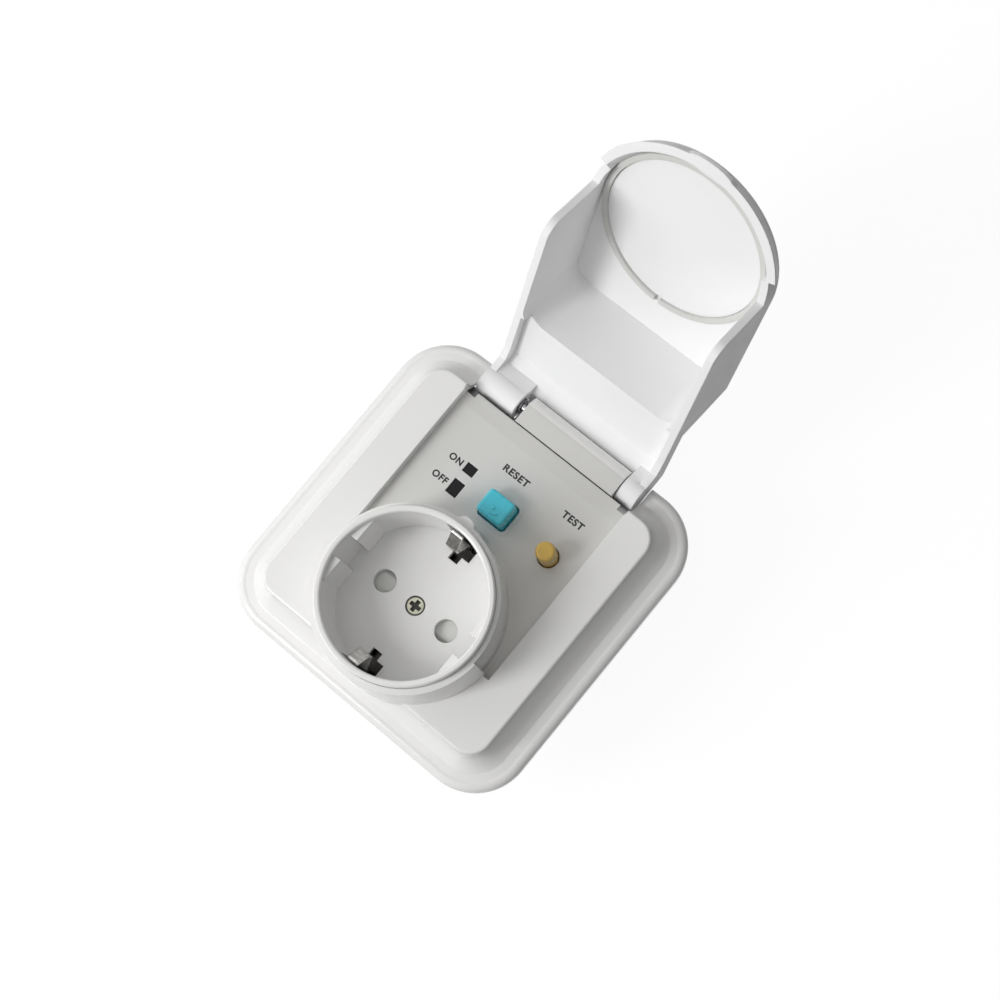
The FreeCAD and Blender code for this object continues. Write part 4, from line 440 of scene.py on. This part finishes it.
def make_words(ink):
    printed(ink, "RESET", -5.6 * MM, 23.65 * MM, 25.35 * MM, 1.07)
    printed(ink, "TEST", 12.7 * MM, 23.65 * MM, 25.35 * MM, 1.07)
    printed(ink, "ON", -17.75 * MM, 17.85 * MM, 19.5 * MM)
    printed(ink, "OFF", -18.35 * MM, 12.1 * MM, 13.75 * MM)


# Stage, light and camera

def camera_switch(tree, seen, lit):
    """The seen shader where the camera, a reflection or glass looks, else the lit one."""
    path = tree.nodes.new("ShaderNodeLightPath")
    either = math_node(tree, "MAXIMUM", path.outputs["Is Camera Ray"],
                       path.outputs["Is Glossy Ray"])
    looks = math_node(tree, "MAXIMUM", either, path.outputs["Is Transmission Ray"])
    mix = tree.nodes.new("ShaderNodeMixShader")
    tree.links.new(looks, mix.inputs["Fac"])
    tree.links.new(lit, mix.inputs[1])
    tree.links.new(seen, mix.inputs[2])
    return mix.outputs[0]


def make_floor():
    """A pale floor that looks white, apart from the shadow of the part."""
    mesh = bpy.data.meshes.new("floor")
    half = FLOOR_SIDE / 2
    corners = [(-half, -half, 0), (half, -half, 0), (half, half, 0), (-half, half, 0)]
    mesh.from_pydata(corners, [], [(0, 1, 2, 3)])
    floor = bpy.data.objects.new("floor", mesh)
    floor.location = (0, 0, FLOOR_LEVEL - FLOOR_GAP)
    bpy.context.scene.collection.objects.link(floor)
    made = bpy.data.materials.new("floor")
    made.use_nodes = True
    tree = made.node_tree
    tree.nodes.clear()
    out = tree.nodes.new("ShaderNodeOutputMaterial")
    grey = tree.nodes.new("ShaderNodeBsdfDiffuse")
    grey.inputs["Color"].default_value = (FLOOR_GREY, FLOOR_GREY, FLOOR_GREY, 1)
    matt = tree.nodes.new("ShaderNodeBsdfDiffuse")
    matt.inputs["Color"].default_value = (1, 1, 1, 1)
    white = tree.nodes.new("ShaderNodeEmission")
    white.inputs["Strength"].default_value = FLOOR_WHITE_STRENGTH
    share = tree.nodes.new("ShaderNodeMixShader")
    share.inputs["Fac"].default_value = FLOOR_WHITE_SHARE
    tree.links.new(matt.outputs[0], share.inputs[1])
    tree.links.new(white.outputs[0], share.inputs[2])
    tree.links.new(camera_switch(tree, share.outputs[0], grey.outputs[0]),
                   out.inputs["Surface"])
    mesh.materials.append(made)


def make_world():
    """White to look at. Its light on the part is brighter from one side."""
    world = bpy.data.worlds.new("studio")
    bpy.context.scene.world = world
    world.use_nodes = True
    tree = world.node_tree
    tree.nodes.clear()
    out = tree.nodes.new("ShaderNodeOutputWorld")
    seen = tree.nodes.new("ShaderNodeBackground")
    seen.inputs["Color"].default_value = (1, 1, 1, 1)
    lit = tree.nodes.new("ShaderNodeBackground")
    lit.inputs["Color"].default_value = (*WORLD_TINT, 1)
    where = tree.nodes.new("ShaderNodeTexCoord")
    side = tree.nodes.new("ShaderNodeVectorMath")
    side.operation = "DOT_PRODUCT"
    side.inputs[1].default_value = Vector(WORLD_BRIGHT_WAY).normalized()
    tree.links.new(where.outputs["Generated"], side.inputs[0])
    tree.links.new(ranged(tree, side.outputs["Value"], *WORLD_STRENGTHS, *WORLD_RAMP),
                   lit.inputs["Strength"])
    tree.links.new(camera_switch(tree, seen.outputs[0], lit.outputs[0]),
                   out.inputs["Surface"])


def area_light(name, way, distance, width, height, power):
    """A rectangular lamp that lies along way from the target and faces it."""
    lamp = bpy.data.lights.new(name, "AREA")
    lamp.shape = "RECTANGLE"
    lamp.size = width
    lamp.size_y = height
    lamp.energy = power
    made = bpy.data.objects.new(name, lamp)
    bpy.context.scene.collection.objects.link(made)
    target = Vector(LAMP_TARGET)
    made.location = target + Vector(way).normalized() * distance
    made.rotation_euler = (made.location - target).to_track_quat("Z", "Y").to_euler()


def make_lights():
    area_light("key", way=(-0.366, -0.636, 0.682), distance=0.75, width=0.18, height=0.45,
               power=3.1)
    area_light("side", way=(-1.0, -0.2, 0.55), distance=0.26, width=0.2, height=0.2,
               power=0.11)


def make_camera():
    lens = bpy.data.cameras.new("camera")
    lens.sensor_width = SENSOR_WIDTH
    lens.lens = FOCAL_PIXELS * SENSOR_WIDTH / IMAGE_SIDE
    lens.clip_start = NEAR_CLIP
    camera = bpy.data.objects.new("camera", lens)
    bpy.context.scene.collection.objects.link(camera)
    right, down, ahead = (Vector(way) for way in (CAMERA_RIGHT, CAMERA_DOWN, CAMERA_AHEAD))
    turn = Matrix((right, -down, -ahead)).transposed()
    camera.matrix_world = Matrix.Translation(CAMERA_PLACE) @ turn.to_4x4()
    bpy.context.scene.camera = camera


materials = dress_nodes()
make_words(materials["black_plastic"])
make_floor()
make_world()
make_lights()
make_camera()
bpy.context.scene.view_settings.view_transform = "Standard"
